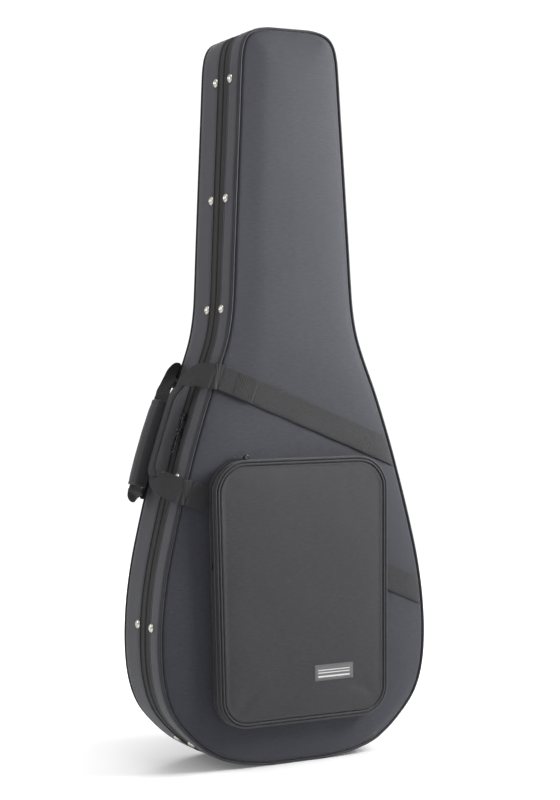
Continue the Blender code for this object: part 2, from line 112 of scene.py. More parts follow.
class Rim:
    """Closed outline, counter-clockwise seen from the front, that starts in the middle of its flat foot."""

    def __init__(self, half, steps=6):
        self.side = smooth_run([Vector(p) for p in half], steps)
        foot, top = self.side[0], self.side[-1]
        right = [foot * (k / 5) + Vector((0, foot.y)) * (1 - k / 5) for k in range(5)] + self.side
        right += [Vector((top.x * (1 - k / 4), top.y)) for k in range(1, 5)]
        self.points = right + [Vector((-p.x, p.y)) for p in reversed(right[1:-1])]
        count = len(self.points)
        self.normals = []
        for i in range(count):
            along = (self.points[(i + 1) % count] - self.points[i - 1]).normalized()
            self.normals.append(Vector((-along.y, along.x)))
        self.run = [0.0]
        for i in range(count):
            self.run.append(self.run[-1] + (self.points[(i + 1) % count] - self.points[i]).length)
        self.length = self.run[-1]
        self.first, self.last = self.run[5], self.run[5 + len(self.side) - 1]
        self.heights = [p.y for p in self.side]

    def at(self, run):
        """Point of the outline that far round it, and its inward normal."""
        run %= self.length
        i = min(bisect_right(self.run, run) - 1, len(self.points) - 1)
        share = (run - self.run[i]) / (self.run[i + 1] - self.run[i])
        j = (i + 1) % len(self.points)
        normal = self.normals[i].lerp(self.normals[j], share).normalized()
        return self.points[i].lerp(self.points[j], share), normal

    def rail(self, run, y, inset):
        """Point of the wall: that far round, at depth y, drawn in by inset."""
        point, normal = self.at(run)
        point = point + normal * inset
        return Vector((point.x, y, point.y))

    def right(self, share):
        return self.at(self.first + (self.last - self.first) * share)

    def half_width(self, z):
        i = min(max(bisect_right(self.heights, z) - 1, 0), len(self.heights) - 2)
        low, high = self.side[i], self.side[i + 1]
        share = min(max((z - low.y) / max(high.y - low.y, 1e-6), 0), 1)
        return low.x + (high.x - low.x) * share

    def run_at(self, z, side=1):
        """How far round the outline that height is, on the right (1) or left (-1)."""
        i = min(max(bisect_right(self.heights, z) - 1, 0), len(self.heights) - 2)
        share = (z - self.heights[i]) / (self.heights[i + 1] - self.heights[i])
        run = self.run[i + 5] + (self.run[i + 6] - self.run[i + 5]) * share
        return run if side > 0 else self.length - run

    def depth(self, x, z):
        """Rough distance of a point from the outline, inwards."""
        return max(0.0, min(self.half_width(z) - abs(x), z - self.heights[0], self.heights[-1] - z))


def pocket_half():
    points = []
    for x, z, radius, start, sign in (
        (POCKET_HALF_LOW, POCKET_LOW, POCKET_ROUND_LOW, -90, 1),
        (POCKET_HALF_HIGH, POCKET_HIGH, POCKET_ROUND_HIGH, 0, -1),
    ):
        for k in range(7):
            angle = math.radians(start + 15 * k)
            points.append((x - radius + radius * math.cos(angle), z + sign * radius + radius * math.sin(angle)))
        if start < 0:
            points += [(x + (POCKET_HALF_HIGH - x) * k / 4, 109 + 75 * k) for k in (1, 2, 3)]
    return points


CASE = Rim(HALF_OUTLINE)
POCKET = Rim(pocket_half(), 3)


def swell(depth, edge, reach):
    """How far a padded face has risen that deep inside its edge seam, 0 to 1."""
    return 1 - math.exp(-max(0.0, depth - edge) / reach)


def soft(x, z, size, seed=0.0):
    return noise.noise(Vector((x / size, seed, z / size)))


def face_at(side, x, z):
    """Depth of the cloth on the front (-1) or back (1) of the case."""
    shape = bpy.context.scene.gig_bag.shape
    rise = swell(CASE.depth(x, z), 6.6, 26)
    crown = (shape.lid_crown if side < 0 else shape.rear_crown) / MM
    dents = soft(x, z, 130, side * 7.0) * 0.9 + soft(x, z, 46, side * 3.0) * 0.22
    if side < 0 and z > NECK_START:
        neck = min(1.0, (z - NECK_START) / NECK_BLEND)
        band = min(1.0, max(0.0, (x / CASE.half_width(z) + 1) / NECK_BAND))
        dents += NECK_RISE * neck * neck * (3 - 2 * neck) * (band * band * (3 - 2 * band) - 0.25)
    return side * (FACE_DEPTH + rise * (crown + dents))


def pocket_at(x, z):
    """Depth of the pocket's front cloth, with soft creases that start from its lower corners."""
    puff = bpy.context.scene.gig_bag.shape.pocket_puff / MM
    rise = swell(POCKET.depth(x, z), 9, 20)
    y = rise * (puff + soft(x, z, 90, 21.0) * 1.1 + soft(x, z, 34, 5.0) * 0.3)
    for corner_x, lean, reach, depth in ((-128, 0.75, 70, 1.5), (-120, 1.7, 55, 1.1), (126, 0.8, 75, 1.6),
                                         (118, 1.8, 50, 1.0), (-132, -0.9, 40, 0.9), (130, -1.0, 45, 0.9)):
        start = Vector((corner_x, POCKET_LOW + 18 if lean > 0 else POCKET_HIGH - 20))
        along = Vector((-math.copysign(1, corner_x), lean)).normalized()
        away = Vector((x, z)) - start
        run, off = away.dot(along), away.dot(Vector((-along.y, along.x)))
        off += 3 * math.sin(run / 17)
        y -= rise * depth * math.exp(-(off / 6.5) ** 2) * math.exp(-((run - reach / 2) / (reach / 2)) ** 2)
    return POCKET_FRONT + 0.4 - y


# ---------------------------------------------------------------- shaping helpers


def lay_grid(columns, rows, place, merge=False):
    """Grid laid by place(u, v), both 0 to 1, which returns the point and its two cloth measures, in millimetres."""
    shape = bmesh.new()
    bmesh.ops.create_grid(shape, x_segments=columns, y_segments=rows, size=1.0)
    weave = shape.loops.layers.uv.new("weave")
    cloth = {}
    for vert in shape.verts:
        point, measures = place((vert.co.x + 1) / 2, (vert.co.y + 1) / 2)
        vert.co, cloth[vert] = point, Vector(measures) * MM
    for face in shape.faces:
        face.smooth = True
        for loop in face.loops:
            loop[weave].uv = cloth[loop.vert]
    if merge:
        bmesh.ops.remove_doubles(shape, verts=shape.verts, dist=0.01)
    return shape


def sweep(rim, section, columns=300, start=None, end=None):
    """Band whose section of (y, inset) pairs is carried round the rim, or from start to end along it."""
    closed = start is None
    start, end = (0.0, rim.length) if closed else (start, end)
    widths = [0.0]
    for a, b in zip(section, section[1:]):
        widths.append(widths[-1] + math.dist(a, b))

    def place(u, v):
        k = round(v * (len(section) - 1))
        run = start + (end - start) * u
        return rim.rail(run, *section[k]), (run, widths[k])

    return lay_grid(columns, len(section) - 1, place, merge=True)


def round_section(y, inset, radius, sides=10):
    turns = [2 * math.pi * (i + 0.5) / sides for i in range(sides + 1)]
    return [(y + radius * math.cos(a), inset + radius * math.sin(a)) for a in turns]


def skin(rim, edge, face, section, columns, rows, dent=0.0):
    """Panel inside the rim, drawn in by edge, whose border runs on through the section's (y, inset) pairs."""
    shape = bmesh.new()
    bmesh.ops.create_grid(shape, x_segments=columns, y_segments=rows, size=1.0)
    weave = shape.loops.layers.uv.new("weave")
    corner = shape.verts.layers.float_vector.new("rim")
    inward = shape.verts.layers.float_vector.new("inward")
    for vert in shape.verts:
        u, share = vert.co.x, (vert.co.y + 1) / 2
        point, normal = rim.right(share)
        border = point + normal * edge
        if abs(u) > 0.9999:
            sign = math.copysign(1, u)
            vert[corner], vert[inward] = (sign * point.x, 0, point.y), (sign * normal.x, 0, normal.y)
        else:
            straight = Vector((0, 1 if share < 0.5 else -1))
            vert[corner], vert[inward] = (u * point.x, 0, point.y), (0, 0, straight.y)
        x, z = u * border.x, border.y
        if 0.0001 < share < 0.9999:
            low, high = rim.heights[0] + edge, rim.heights[-1] - edge
            z = min(max(z, low + 0.02 * share), high - 0.02 * (1 - share))
        vert.co = (x, face(x, z), z)
    for made in shape.faces:
        made.smooth = True
        for loop in made.loops:
            loop[weave].uv = (loop.vert.co.x * MM, loop.vert.co.z * MM)
    edges = [e for e in shape.edges if e.is_boundary]
    width = 0.0
    before = None
    for y, inset in section:
        width_before, width = width, width + (math.dist(before, (y, inset)) if before else edge - inset)
        before = (y, inset)
        grown = bmesh.ops.extrude_edge_only(shape, edges=edges)["geom"]
        fresh = {g for g in grown if isinstance(g, bmesh.types.BMVert)}
        for vert in fresh:
            spot, normal = Vector(vert[corner]), Vector(vert[inward])
            shift = dent * soft(spot.x + y, spot.z, 60, 11.0) if -60 < y < 60 else 0.0
            vert.co = spot + normal * (inset + shift)
            vert.co.y = y
        for made in (g for g in grown if isinstance(g, bmesh.types.BMFace)):
            made.smooth = True
            for loop in made.loops:
                spot = loop.vert[corner]
                steep = abs(loop.vert[inward].x) > 0.5
                run = spot.z if steep else spot.x
                loop[weave].uv = (run * MM, (width if loop.vert in fresh else width_before) * MM)
        edges = [g for g in grown if isinstance(g, bmesh.types.BMEdge) and g.is_boundary]
    return shape


def ribbon(stations, steps, rows):
    """Webbing through stations of centre, width direction, half width, fold (0 flat, 1 folded in two) and curl."""
    run = smooth_run([Vector((*c, *w, half, fold, curl)) for c, w, half, fold, curl in stations], steps)
    centres = [Vector(s[0:3]) for s in run]
    lengths = [0.0]
    for a, b in zip(centres, centres[1:]):
        lengths.append(lengths[-1] + (b - a).length)

    def place(u, v):
        i = round(u * (len(run) - 1))
        travel = (centres[min(i + 1, len(run) - 1)] - centres[max(i - 1, 0)]).normalized()
        wide = Vector(run[i][3:6])
        wide = (wide - travel * wide.dot(travel)).normalized()
        out = travel.cross(wide)
        half, fold, curl = run[i][6:9]
        q = 2 * v - 1
        crease = math.sqrt(q * q + 0.006)
        across = (1 - fold) * q + fold * (1 - 2 * crease)
        lift = fold * 1.25 * math.tanh(4 * q) + curl * q * q
        point = centres[i] + wide * half * across + out * lift
        return point, (lengths[i], q * WEBBING_HALF)

    return lay_grid(len(run) - 1, rows, place)


def tube(stations, sides, steps, square):
    """Closed padded tube through stations of centre, half width vector and half thickness vector."""
    run = smooth_run([Vector((*c, *a, *b)) for c, a, b in stations], steps)
    lengths = [0.0]
    for a, b in zip(run, run[1:]):
        lengths.append(lengths[-1] + (Vector(b[0:3]) - Vector(a[0:3])).length)

    def place(u, v):
        i = round(u * (len(run) - 1))
        angle = 2 * math.pi * v
        c, s = math.cos(angle), math.sin(angle)
        c = math.copysign(abs(c) ** square, c)
        s = math.copysign(abs(s) ** square, s)
        wide, thick = Vector(run[i][3:6]), Vector(run[i][6:9])
        girth = 2 * (wide.length + thick.length) * v
        return Vector(run[i][0:3]) + wide * c + thick * s, (lengths[i], girth)

    shape = lay_grid(len(run) - 1, sides, place, merge=True)
    bmesh.ops.holes_fill(shape, edges=[e for e in shape.edges if e.is_boundary], sides=sides + 2)
    return shape


def join(shape, other):
    """Adds another shape to this one and frees it."""
    mesh = bpy.data.meshes.new("part")
    other.to_mesh(mesh)
    other.free()
    shape.from_mesh(mesh)
    bpy.data.meshes.remove(mesh)


def frame_matrix(origin, along, out):
    side = out.cross(along)
    matrix = Matrix((along, side, out)).transposed().to_4x4()
    matrix.translation = origin
    return matrix


def stitch_mesh():
    """One stitch: a rounded grain of thread, a millimetre long before it is scaled."""
    mesh = bpy.data.meshes.get("one_stitch")
    if mesh is None:
        grain = bmesh.new()
        bmesh.ops.create_icosphere(grain, subdivisions=1, radius=0.5)
        for face in grain.faces:
            face.smooth = True
        mesh = bpy.data.meshes.new("one_stitch")
        grain.to_mesh(mesh)
        grain.free()
    return mesh


def sew(shape, path, out, pitch=3.6, length=2.7, girth=0.75):
    """Stitches on a path of points; out(point) is the cloth's outward direction there."""
    grain = stitch_mesh()
    ahead = pitch / 2
    for a, b in zip(path, path[1:]):
        along, span = (b - a).normalized(), (b - a).length
        while ahead <= span:
            point = a + along * ahead
            up = out(point)
            up = (up - along * up.dot(along)).normalized()
            matrix = frame_matrix(point, along, up) @ Matrix.Diagonal((length, girth, girth * 0.8, 1))
            grain.transform(matrix)
            shape.from_mesh(grain)
            grain.transform(matrix.inverted())
            ahead += pitch
        ahead -= span


def block(shape, size, matrix, radius):
    """Rounded block added to the shape."""
    made = bmesh.new()
    bmesh.ops.create_cube(made, size=1.0)
    bmesh.ops.scale(made, vec=size, verts=made.verts)
    bmesh.ops.bevel(made, geom=made.edges[:], offset=radius, offset_type="OFFSET", segments=2,
                    profile=0.5, affect="EDGES", material=-1, clamp_overlap=True)
    for face in made.faces:
        face.smooth = True
    bmesh.ops.transform(made, matrix=matrix, verts=made.verts)
    join(shape, made)


def piece(name, shape, look, body=None, nodes=(), wall=0.0, edge=0.0, levels=0, facing=1, closed=False):
    """Finishes a shape as a named object in metres: normals, cloth wall, rounded edges, material and body."""
    bmesh.ops.recalc_face_normals(shape, faces=shape.faces)
    if not closed:
        lean = sum((f.calc_center_median() - MIDDLE).dot(f.normal) * f.calc_area() for f in shape.faces)
        if lean * facing < 0:
            bmesh.ops.reverse_faces(shape, faces=shape.faces)
    bmesh.ops.scale(shape, vec=(MM, MM, MM), verts=shape.verts)
    mesh = bpy.data.meshes.new(name)
    shape.to_mesh(mesh)
    shape.free()
    mesh.materials.append(look)
    made = bpy.data.objects.new(name, mesh)
    bpy.context.scene.collection.objects.link(made)
    if wall:
        solid = made.modifiers.new("wall", "SOLIDIFY")
        solid.thickness, solid.offset = wall * MM, -1
    if edge:
        rounded = made.modifiers.new("rounded edges", "BEVEL")
        rounded.width, rounded.segments = edge * MM, 2
        rounded.limit_method, rounded.angle_limit = "ANGLE", math.radians(50)
    if levels:
        fine = made.modifiers.new("smooth", "SUBSURF")
        fine.levels = fine.render_levels = levels
    if nodes:
        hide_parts(*nodes)
    if body:
        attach(made, body)
    return made


def cad_copy(node):
    """Merged copy of a CAD node's mesh as a shape in millimetres."""
    shape = bmesh.new()
    shape.from_mesh(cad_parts[node].data)
    bmesh.ops.scale(shape, vec=(1 / MM, 1 / MM, 1 / MM), verts=shape.verts)
    bmesh.ops.remove_doubles(shape, verts=shape.verts, dist=0.005)
    bmesh.ops.dissolve_limit(shape, angle_limit=math.radians(1), verts=shape.verts, edges=shape.edges)
    return shape


def dress_cad(node, look, edge):
    """Keeps a CAD node's own shape, with its edges rounded and its finish added."""
    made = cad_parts[node]
    made.data.materials.clear()
    made.data.materials.append(look)
    weld = made.modifiers.new("weld", "WELD")
    weld.merge_threshold = 0.00001
    if edge:
        rounded = made.modifiers.new("rounded edges", "BEVEL")
        rounded.width, rounded.segments = edge * MM, 2
        rounded.limit_method, rounded.angle_limit = "ANGLE", math.radians(30)


# ---------------------------------------------------------------- materials


def add(tree, kind, inputs=None, **settings):
    made = tree.nodes.new(kind)
    for key, value in settings.items():
        setattr(made, key, value)
    for key, value in (inputs or {}).items():
        if isinstance(value, bpy.types.NodeSocket):
            tree.links.new(value, made.inputs[key])
        else:
            made.inputs[key].default_value = value
    return made


def sum_of(tree, operation, first, second=0.5, third=0.5, clamp=False):
    return add(tree, "ShaderNodeMath", {0: first, 1: second, 2: third}, operation=operation,
               use_clamp=clamp).outputs[0]


def effect(name, inputs, outputs, build):
    """Shader node group with named inputs and outputs, built once."""
    group = bpy.data.node_groups.get(name)
    if group:
        return group
    group = bpy.data.node_groups.new(name, "ShaderNodeTree")
    for label, kind, default in inputs:
        socket = group.interface.new_socket(name=label, in_out="INPUT", socket_type=kind)
        if default is not None:
            socket.default_value = default
    for label, kind in outputs:
        group.interface.new_socket(name=label, in_out="OUTPUT", socket_type=kind)
    start, end = group.nodes.new("NodeGroupInput"), group.nodes.new("NodeGroupOutput")
    for label, socket in build(group, start.outputs).items():
        group.links.new(socket, end.inputs[label])
    return group


VALUE, VECTOR = "NodeSocketFloat", "NodeSocketVector"


def threads_group():
    """Plain weave: warp and weft threads that pass over and under each other."""
    def build(tree, given):
        stray = add(tree, "ShaderNodeTexNoise", {"Vector": given["Cloth"], "Scale": 210.0, "Detail": 2.0})
        shift = add(tree, "ShaderNodeVectorMath", {0: stray.outputs["Color"], 1: (0.5, 0.5, 0.5)}, operation="SUBTRACT")
        push = add(tree, "ShaderNodeVectorMath", {0: shift.outputs[0], "Scale": given["Stray"]}, operation="SCALE")
        moved = add(tree, "ShaderNodeVectorMath", {0: given["Cloth"], 1: push.outputs[0]}, operation="ADD")
        split = add(tree, "ShaderNodeSeparateXYZ", {0: moved.outputs[0]})
        x = sum_of(tree, "DIVIDE", split.outputs["X"], given["Warp pitch"])
        y = sum_of(tree, "DIVIDE", split.outputs["Y"], given["Weft pitch"])
        waves = [sum_of(tree, "SINE", sum_of(tree, "MULTIPLY", axis, math.pi)) for axis in (x, y)]
        humps = [sum_of(tree, "ABSOLUTE", wave) for wave in waves]
        cells = sum_of(tree, "ADD", sum_of(tree, "FLOOR", x), sum_of(tree, "FLOOR", y))
        over = sum_of(tree, "FLOORED_MODULO", cells, 2.0)
        tops = [sum_of(tree, "MULTIPLY", humps[i], sum_of(tree, "MULTIPLY_ADD", humps[1 - i], 0.5, 0.5))
                for i in (0, 1)]
        height = add(tree, "ShaderNodeMix", {0: over, 2: tops[0], 3: tops[1]}, data_type="FLOAT")
        return {"Height": height.outputs[0], "Over": over}

    return effect("Woven threads", [("Cloth", VECTOR, None), ("Warp pitch", VALUE, 0.0007),
                                    ("Weft pitch", VALUE, 0.0007), ("Stray", VALUE, 0.0002)],
                  [("Height", VALUE), ("Over", VALUE)], build)


def patches_group():
    """Slow and fast changes of tone over a surface, round 1."""
    def build(tree, given):
        slow = add(tree, "ShaderNodeTexNoise", {"Vector": given["Place"], "Scale": given["Slow scale"], "Detail": 3.0})
        fast = add(tree, "ShaderNodeTexNoise", {"Vector": given["Place"], "Scale": given["Fast scale"], "Detail": 2.0})
        both = sum_of(tree, "ADD", slow.outputs[0], fast.outputs[0])
        centred = sum_of(tree, "SUBTRACT", both, 1.0)
        tone = sum_of(tree, "MULTIPLY_ADD", centred, given["Contrast"], 1.0)
        return {"Tone": tone}

    return effect("Tone patches", [("Place", VECTOR, None), ("Slow scale", VALUE, 9.0), ("Fast scale", VALUE, 160.0),
                                   ("Contrast", VALUE, 0.3)], [("Tone", VALUE)], build)


def dust_group():
    """Lint specks and a dusty bloom, as a mask."""
    def build(tree, given):
        specks = add(tree, "ShaderNodeTexVoronoi", {"Vector": given["Place"], "Scale": given["Speck scale"]})
        near = sum_of(tree, "LESS_THAN", specks.outputs["Distance"], 0.11)
        rare = sum_of(tree, "GREATER_THAN", add(
            tree, "ShaderNodeSeparateColor", {0: specks.outputs["Color"]}).outputs[0], given["Rarity"])
        bloom = add(tree, "ShaderNodeTexNoise", {"Vector": given["Place"], "Scale": 5.0, "Detail": 4.0})
        cloud = add(tree, "ShaderNodeMapRange", {0: bloom.outputs[0], 1: 0.48, 2: 0.8, 3: 0.0, 4: 0.18})
        mask = sum_of(tree, "ADD", sum_of(tree, "MULTIPLY", near, rare), cloud.outputs[0], clamp=True)
        return {"Mask": mask}

    return effect("Lint and dust", [("Place", VECTOR, None), ("Speck scale", VALUE, 150.0), ("Rarity", VALUE, 0.9)],
                  [("Mask", VALUE)], build)


def scratches_group():
    """Fine handling marks in metal or plastic: a mask and a roughness change."""
    def build(tree, given):
        lie = add(tree, "ShaderNodeMapping", {"Vector": given["Place"], "Scale": (900.0, 120.0, 300.0),
                                              "Rotation": (0.3, 0.5, 0.7)})
        lines = add(tree, "ShaderNodeTexNoise", {"Vector": lie.outputs[0], "Scale": 1.0, "Detail": 4.0})
        mask = add(tree, "ShaderNodeMapRange", {0: lines.outputs[0], 1: 0.55, 2: 0.72})
        smudge = add(tree, "ShaderNodeTexNoise", {"Vector": given["Place"], "Scale": 240.0, "Detail": 3.0})
        rough = sum_of(tree, "MULTIPLY_ADD", smudge.outputs[0], given["Spread"], given["Base"])
        rough = sum_of(tree, "MULTIPLY_ADD", mask.outputs[0], 0.12, rough, clamp=True)
        return {"Mask": mask.outputs[0], "Roughness": rough}

    return effect("Handling marks", [("Place", VECTOR, None), ("Base", VALUE, 0.2), ("Spread", VALUE, 0.2)],
                  [("Mask", VALUE), ("Roughness", VALUE)], build)


def put_group(tree, group, inputs):
    made = tree.nodes.new("ShaderNodeGroup")
    made.node_tree = group
    for key, value in inputs.items():
        if isinstance(value, bpy.types.NodeSocket):
            tree.links.new(value, made.inputs[key])
        else:
            made.inputs[key].default_value = value
    return made.outputs


def new_look(name):
    made = bpy.data.materials.new(name)
    made.use_nodes = True
    tree = made.node_tree
    return made, tree, tree.nodes["Principled BSDF"]


def tinted(tree, colour, tone):
    """A colour multiplied by a tone that changes over the surface."""
    grey = add(tree, "ShaderNodeCombineColor", {0: tone, 1: tone, 2: tone})
    return add(tree, "ShaderNodeMix", {0: 1.0, 6: (*colour, 1.0), 7: grey.outputs[0]},
               data_type="RGBA", blend_type="MULTIPLY").outputs[2]


def cloth_look(name, colour, pitch, relief, sheen=0.25, rough=0.8, contrast=0.3, dust=0.25, shade=0.5,
               creases=0.0, dust_colour=(0.3, 0.3, 0.31), specular=0.35):
    """Woven cloth: threads from the weave map with painted shade in their hollows and painted light on their tops,
    patchy dye, lint, creases and a soft sheen.
    """
    made, tree, shader = new_look(name)
    weave = add(tree, "ShaderNodeUVMap", uv_map="weave").outputs[0]
    place = add(tree, "ShaderNodeTexCoord").outputs["Object"]
    threads = put_group(tree, threads_group(), {
        "Cloth": weave, "Warp pitch": pitch[0], "Weft pitch": pitch[1], "Stray": 0.35 * min(pitch)})
    tone = put_group(tree, patches_group(), {"Place": place, "Contrast": contrast})["Tone"]
    # Painted shade and light: the dye is darkened in the hollows between threads and lightened on their tops, by the
    # share given as shade.
    thread_hollow_painted_shade = add(tree, "ShaderNodeMapRange", {0: threads["Height"], 1: 0.0, 2: 1.0, 3: 1 - shade, 4: 1 + 0.45 * shade})
    streak = add(tree, "ShaderNodeTexNoise", {
        "Vector": add(tree, "ShaderNodeMapping", {"Vector": weave, "Scale": (90.0, 520.0, 1.0)}).outputs[0],
        "Scale": 1.0, "Detail": 2.0}).outputs[0]
    tone = sum_of(tree, "MULTIPLY", tone, thread_hollow_painted_shade.outputs[0])
    tone = sum_of(tree, "MULTIPLY", tone, sum_of(tree, "MULTIPLY_ADD", streak, 0.9, 0.55))
    mask = put_group(tree, dust_group(), {"Place": place})["Mask"]
    base = add(tree, "ShaderNodeMix", {0: sum_of(tree, "MULTIPLY", mask, dust), 6: tinted(tree, colour, tone),
                                       7: (*dust_colour, 1.0)}, data_type="RGBA").outputs[2]
    tree.links.new(base, shader.inputs["Base Color"])
    tree.links.new(sum_of(tree, "MULTIPLY_ADD", threads["Height"], -0.12, rough + 0.06), shader.inputs["Roughness"])
    shader.inputs["Sheen Weight"].default_value = sheen
    shader.inputs["Sheen Roughness"].default_value = 0.45
    shader.inputs["Specular IOR Level"].default_value = specular
    height = sum_of(tree, "MULTIPLY", threads["Height"], relief)
    if creases:
        slow = add(tree, "ShaderNodeTexNoise", {"Vector": place, "Scale": 12.0, "Detail": 2.0, "Distortion": 0.4})
        height = sum_of(tree, "MULTIPLY_ADD", slow.outputs[0], creases, height)
    bump = add(tree, "ShaderNodeBump", {"Strength": 1.0, "Distance": 1.0, "Height": height})
    tree.links.new(bump.outputs[0], shader.inputs["Normal"])
    return made


def plush_look(name, colour, sheen=0.7):
    """Short brushed pile that lies in shifting directions."""
    made, tree, shader = new_look(name)
    place = add(tree, "ShaderNodeTexCoord").outputs["Object"]
    nap = add(tree, "ShaderNodeTexNoise", {"Vector": place, "Scale": 14.0, "Detail": 5.0, "Distortion": 1.2})
    pile = add(tree, "ShaderNodeTexNoise", {"Vector": place, "Scale": 1300.0, "Detail": 2.0})
    brush = add(tree, "ShaderNodeMapRange", {0: nap.outputs[0], 1: 0.35, 2: 0.65, 3: 0.72, 4: 1.35})
    tone = sum_of(tree, "MULTIPLY", brush.outputs[0], sum_of(tree, "MULTIPLY_ADD", pile.outputs[0], 0.7, 0.65))
    mask = put_group(tree, dust_group(), {"Place": place, "Rarity": 0.93})["Mask"]
    base = add(tree, "ShaderNodeMix", {0: sum_of(tree, "MULTIPLY", mask, 0.2), 6: tinted(tree, colour, tone),
                                       7: (0.4, 0.4, 0.4, 1.0)}, data_type="RGBA").outputs[2]
    tree.links.new(base, shader.inputs["Base Color"])
    tree.links.new(sum_of(tree, "MULTIPLY_ADD", nap.outputs[0], 0.2, 0.8), shader.inputs["Roughness"])
    shader.inputs["Sheen Weight"].default_value = sheen
    shader.inputs["Sheen Roughness"].default_value = 0.35
    shader.inputs["Specular IOR Level"].default_value = 0.2
    height = sum_of(tree, "MULTIPLY_ADD", pile.outputs[0], 0.0005, sum_of(tree, "MULTIPLY", nap.outputs[0], 0.0006))
    bump = add(tree, "ShaderNodeBump", {"Strength": 0.8, "Distance": 1.0, "Height": height})
    tree.links.new(bump.outputs[0], shader.inputs["Normal"])
    return made


def foam_look(name, colour):
    """Cut foam: open cells of one size."""
    made, tree, shader = new_look(name)
    place = add(tree, "ShaderNodeTexCoord").outputs["Object"]
    cells = add(tree, "ShaderNodeTexVoronoi", {"Vector": place, "Scale": 900.0})
    tone = put_group(tree, patches_group(), {"Place": place, "Contrast": 0.25})["Tone"]
    # Painted shade: each open cell is darker towards its middle, where its pit lies.
    tone = sum_of(tree, "MULTIPLY", tone, sum_of(tree, "MULTIPLY_ADD", cells.outputs[0], 0.8, 0.6))
    tree.links.new(tinted(tree, colour, tone), shader.inputs["Base Color"])
    tree.links.new(sum_of(tree, "MULTIPLY_ADD", cells.outputs[0], 0.1, 0.85), shader.inputs["Roughness"])
    bump = add(tree, "ShaderNodeBump", {"Strength": 0.7, "Distance": 0.0004, "Height": cells.outputs[0]})
    tree.links.new(bump.outputs[0], shader.inputs["Normal"])
    return made


def metal_look(name, colour, worn, base, spread, metallic=1.0):
    """Plated metal with smudges and fine marks that show the metal below."""
    made, tree, shader = new_look(name)
    place = add(tree, "ShaderNodeTexCoord").outputs["Object"]
    marks = put_group(tree, scratches_group(), {"Place": place, "Base": base, "Spread": spread})
    tone = put_group(tree, patches_group(), {"Place": place, "Slow scale": 120.0, "Fast scale": 900.0,
                                             "Contrast": 0.25})["Tone"]
    colour_now = add(tree, "ShaderNodeMix", {0: sum_of(tree, "MULTIPLY", marks["Mask"], 0.5),
                                             6: tinted(tree, colour, tone), 7: (*worn, 1.0)}, data_type="RGBA")
    tree.links.new(colour_now.outputs[2], shader.inputs["Base Color"])
    tree.links.new(marks["Roughness"], shader.inputs["Roughness"])
    shader.inputs["Metallic"].default_value = metallic
    bump = add(tree, "ShaderNodeBump", {"Strength": 0.25, "Distance": 0.0001, "Height": marks["Mask"]})
    tree.links.new(bump.outputs[0], shader.inputs["Normal"])
    return made


def plastic_look(name, colour):
    """Moulded acetal: fine spark texture and rubbed spots."""
    made, tree, shader = new_look(name)
    place = add(tree, "ShaderNodeTexCoord").outputs["Object"]
    marks = put_group(tree, scratches_group(), {"Place": place, "Base": 0.3, "Spread": 0.3})
    grain = add(tree, "ShaderNodeTexNoise", {"Vector": place, "Scale": 2600.0, "Detail": 2.0})
    tone = put_group(tree, patches_group(), {"Place": place, "Slow scale": 60.0, "Contrast": 0.4})["Tone"]
    colour_now = add(tree, "ShaderNodeMix", {0: sum_of(tree, "MULTIPLY", marks["Mask"], 0.25),
                                             6: tinted(tree, colour, tone), 7: (0.2, 0.2, 0.2, 1)}, data_type="RGBA")
    tree.links.new(colour_now.outputs[2], shader.inputs["Base Color"])
    tree.links.new(marks["Roughness"], shader.inputs["Roughness"])
    bump = add(tree, "ShaderNodeBump", {"Strength": 0.35, "Distance": 0.0001, "Height": grain.outputs[0]})
    tree.links.new(bump.outputs[0], shader.inputs["Normal"])
    return made


def label_look(name, ground, light):
    """Woven label: satin ground with a border and three plain stripes."""
    made, tree, shader = new_look(name)
    weave = add(tree, "ShaderNodeUVMap", uv_map="weave").outputs[0]
    threads = put_group(tree, threads_group(), {"Cloth": weave, "Warp pitch": 0.0004, "Weft pitch": 0.0005,
                                                "Stray": 0.0001})
    across = add(tree, "ShaderNodeSeparateXYZ", {0: weave}).outputs
    bands = []
    for middle, half in ((0.0062, 0.0012), (0.0118, 0.0007), (0.0158, 0.0007)):
        away = sum_of(tree, "ABSOLUTE", sum_of(tree, "SUBTRACT", across["Y"], middle))
        bands.append(sum_of(tree, "LESS_THAN", away, half))
    inside = sum_of(tree, "LESS_THAN", sum_of(tree, "ABSOLUTE", sum_of(tree, "SUBTRACT", across["X"], 0.033)), 0.027)
    stripes = sum_of(tree, "MULTIPLY", sum_of(tree, "ADD", sum_of(tree, "ADD", bands[0], bands[1]), bands[2]), inside)
    # Painted shade and light: the colour is darker in the hollows between threads and lighter on their tops.
    tone = sum_of(tree, "MULTIPLY_ADD", threads["Height"], 0.5, 0.7)
    base = add(tree, "ShaderNodeMix", {0: stripes, 6: tinted(tree, ground, tone), 7: tinted(tree, light, tone)},
               data_type="RGBA")
    tree.links.new(base.outputs[2], shader.inputs["Base Color"])
    tree.links.new(sum_of(tree, "MULTIPLY_ADD", stripes, -0.15, 0.7), shader.inputs["Roughness"])
    shader.inputs["Sheen Weight"].default_value = 0.3
    bump = add(tree, "ShaderNodeBump", {"Strength": 1.0, "Distance": 1.0, "Height": sum_of(
        tree, "MULTIPLY", sum_of(tree, "ADD", threads["Height"], stripes), 0.00012)})
    tree.links.new(bump.outputs[0], shader.inputs["Normal"])
    return made


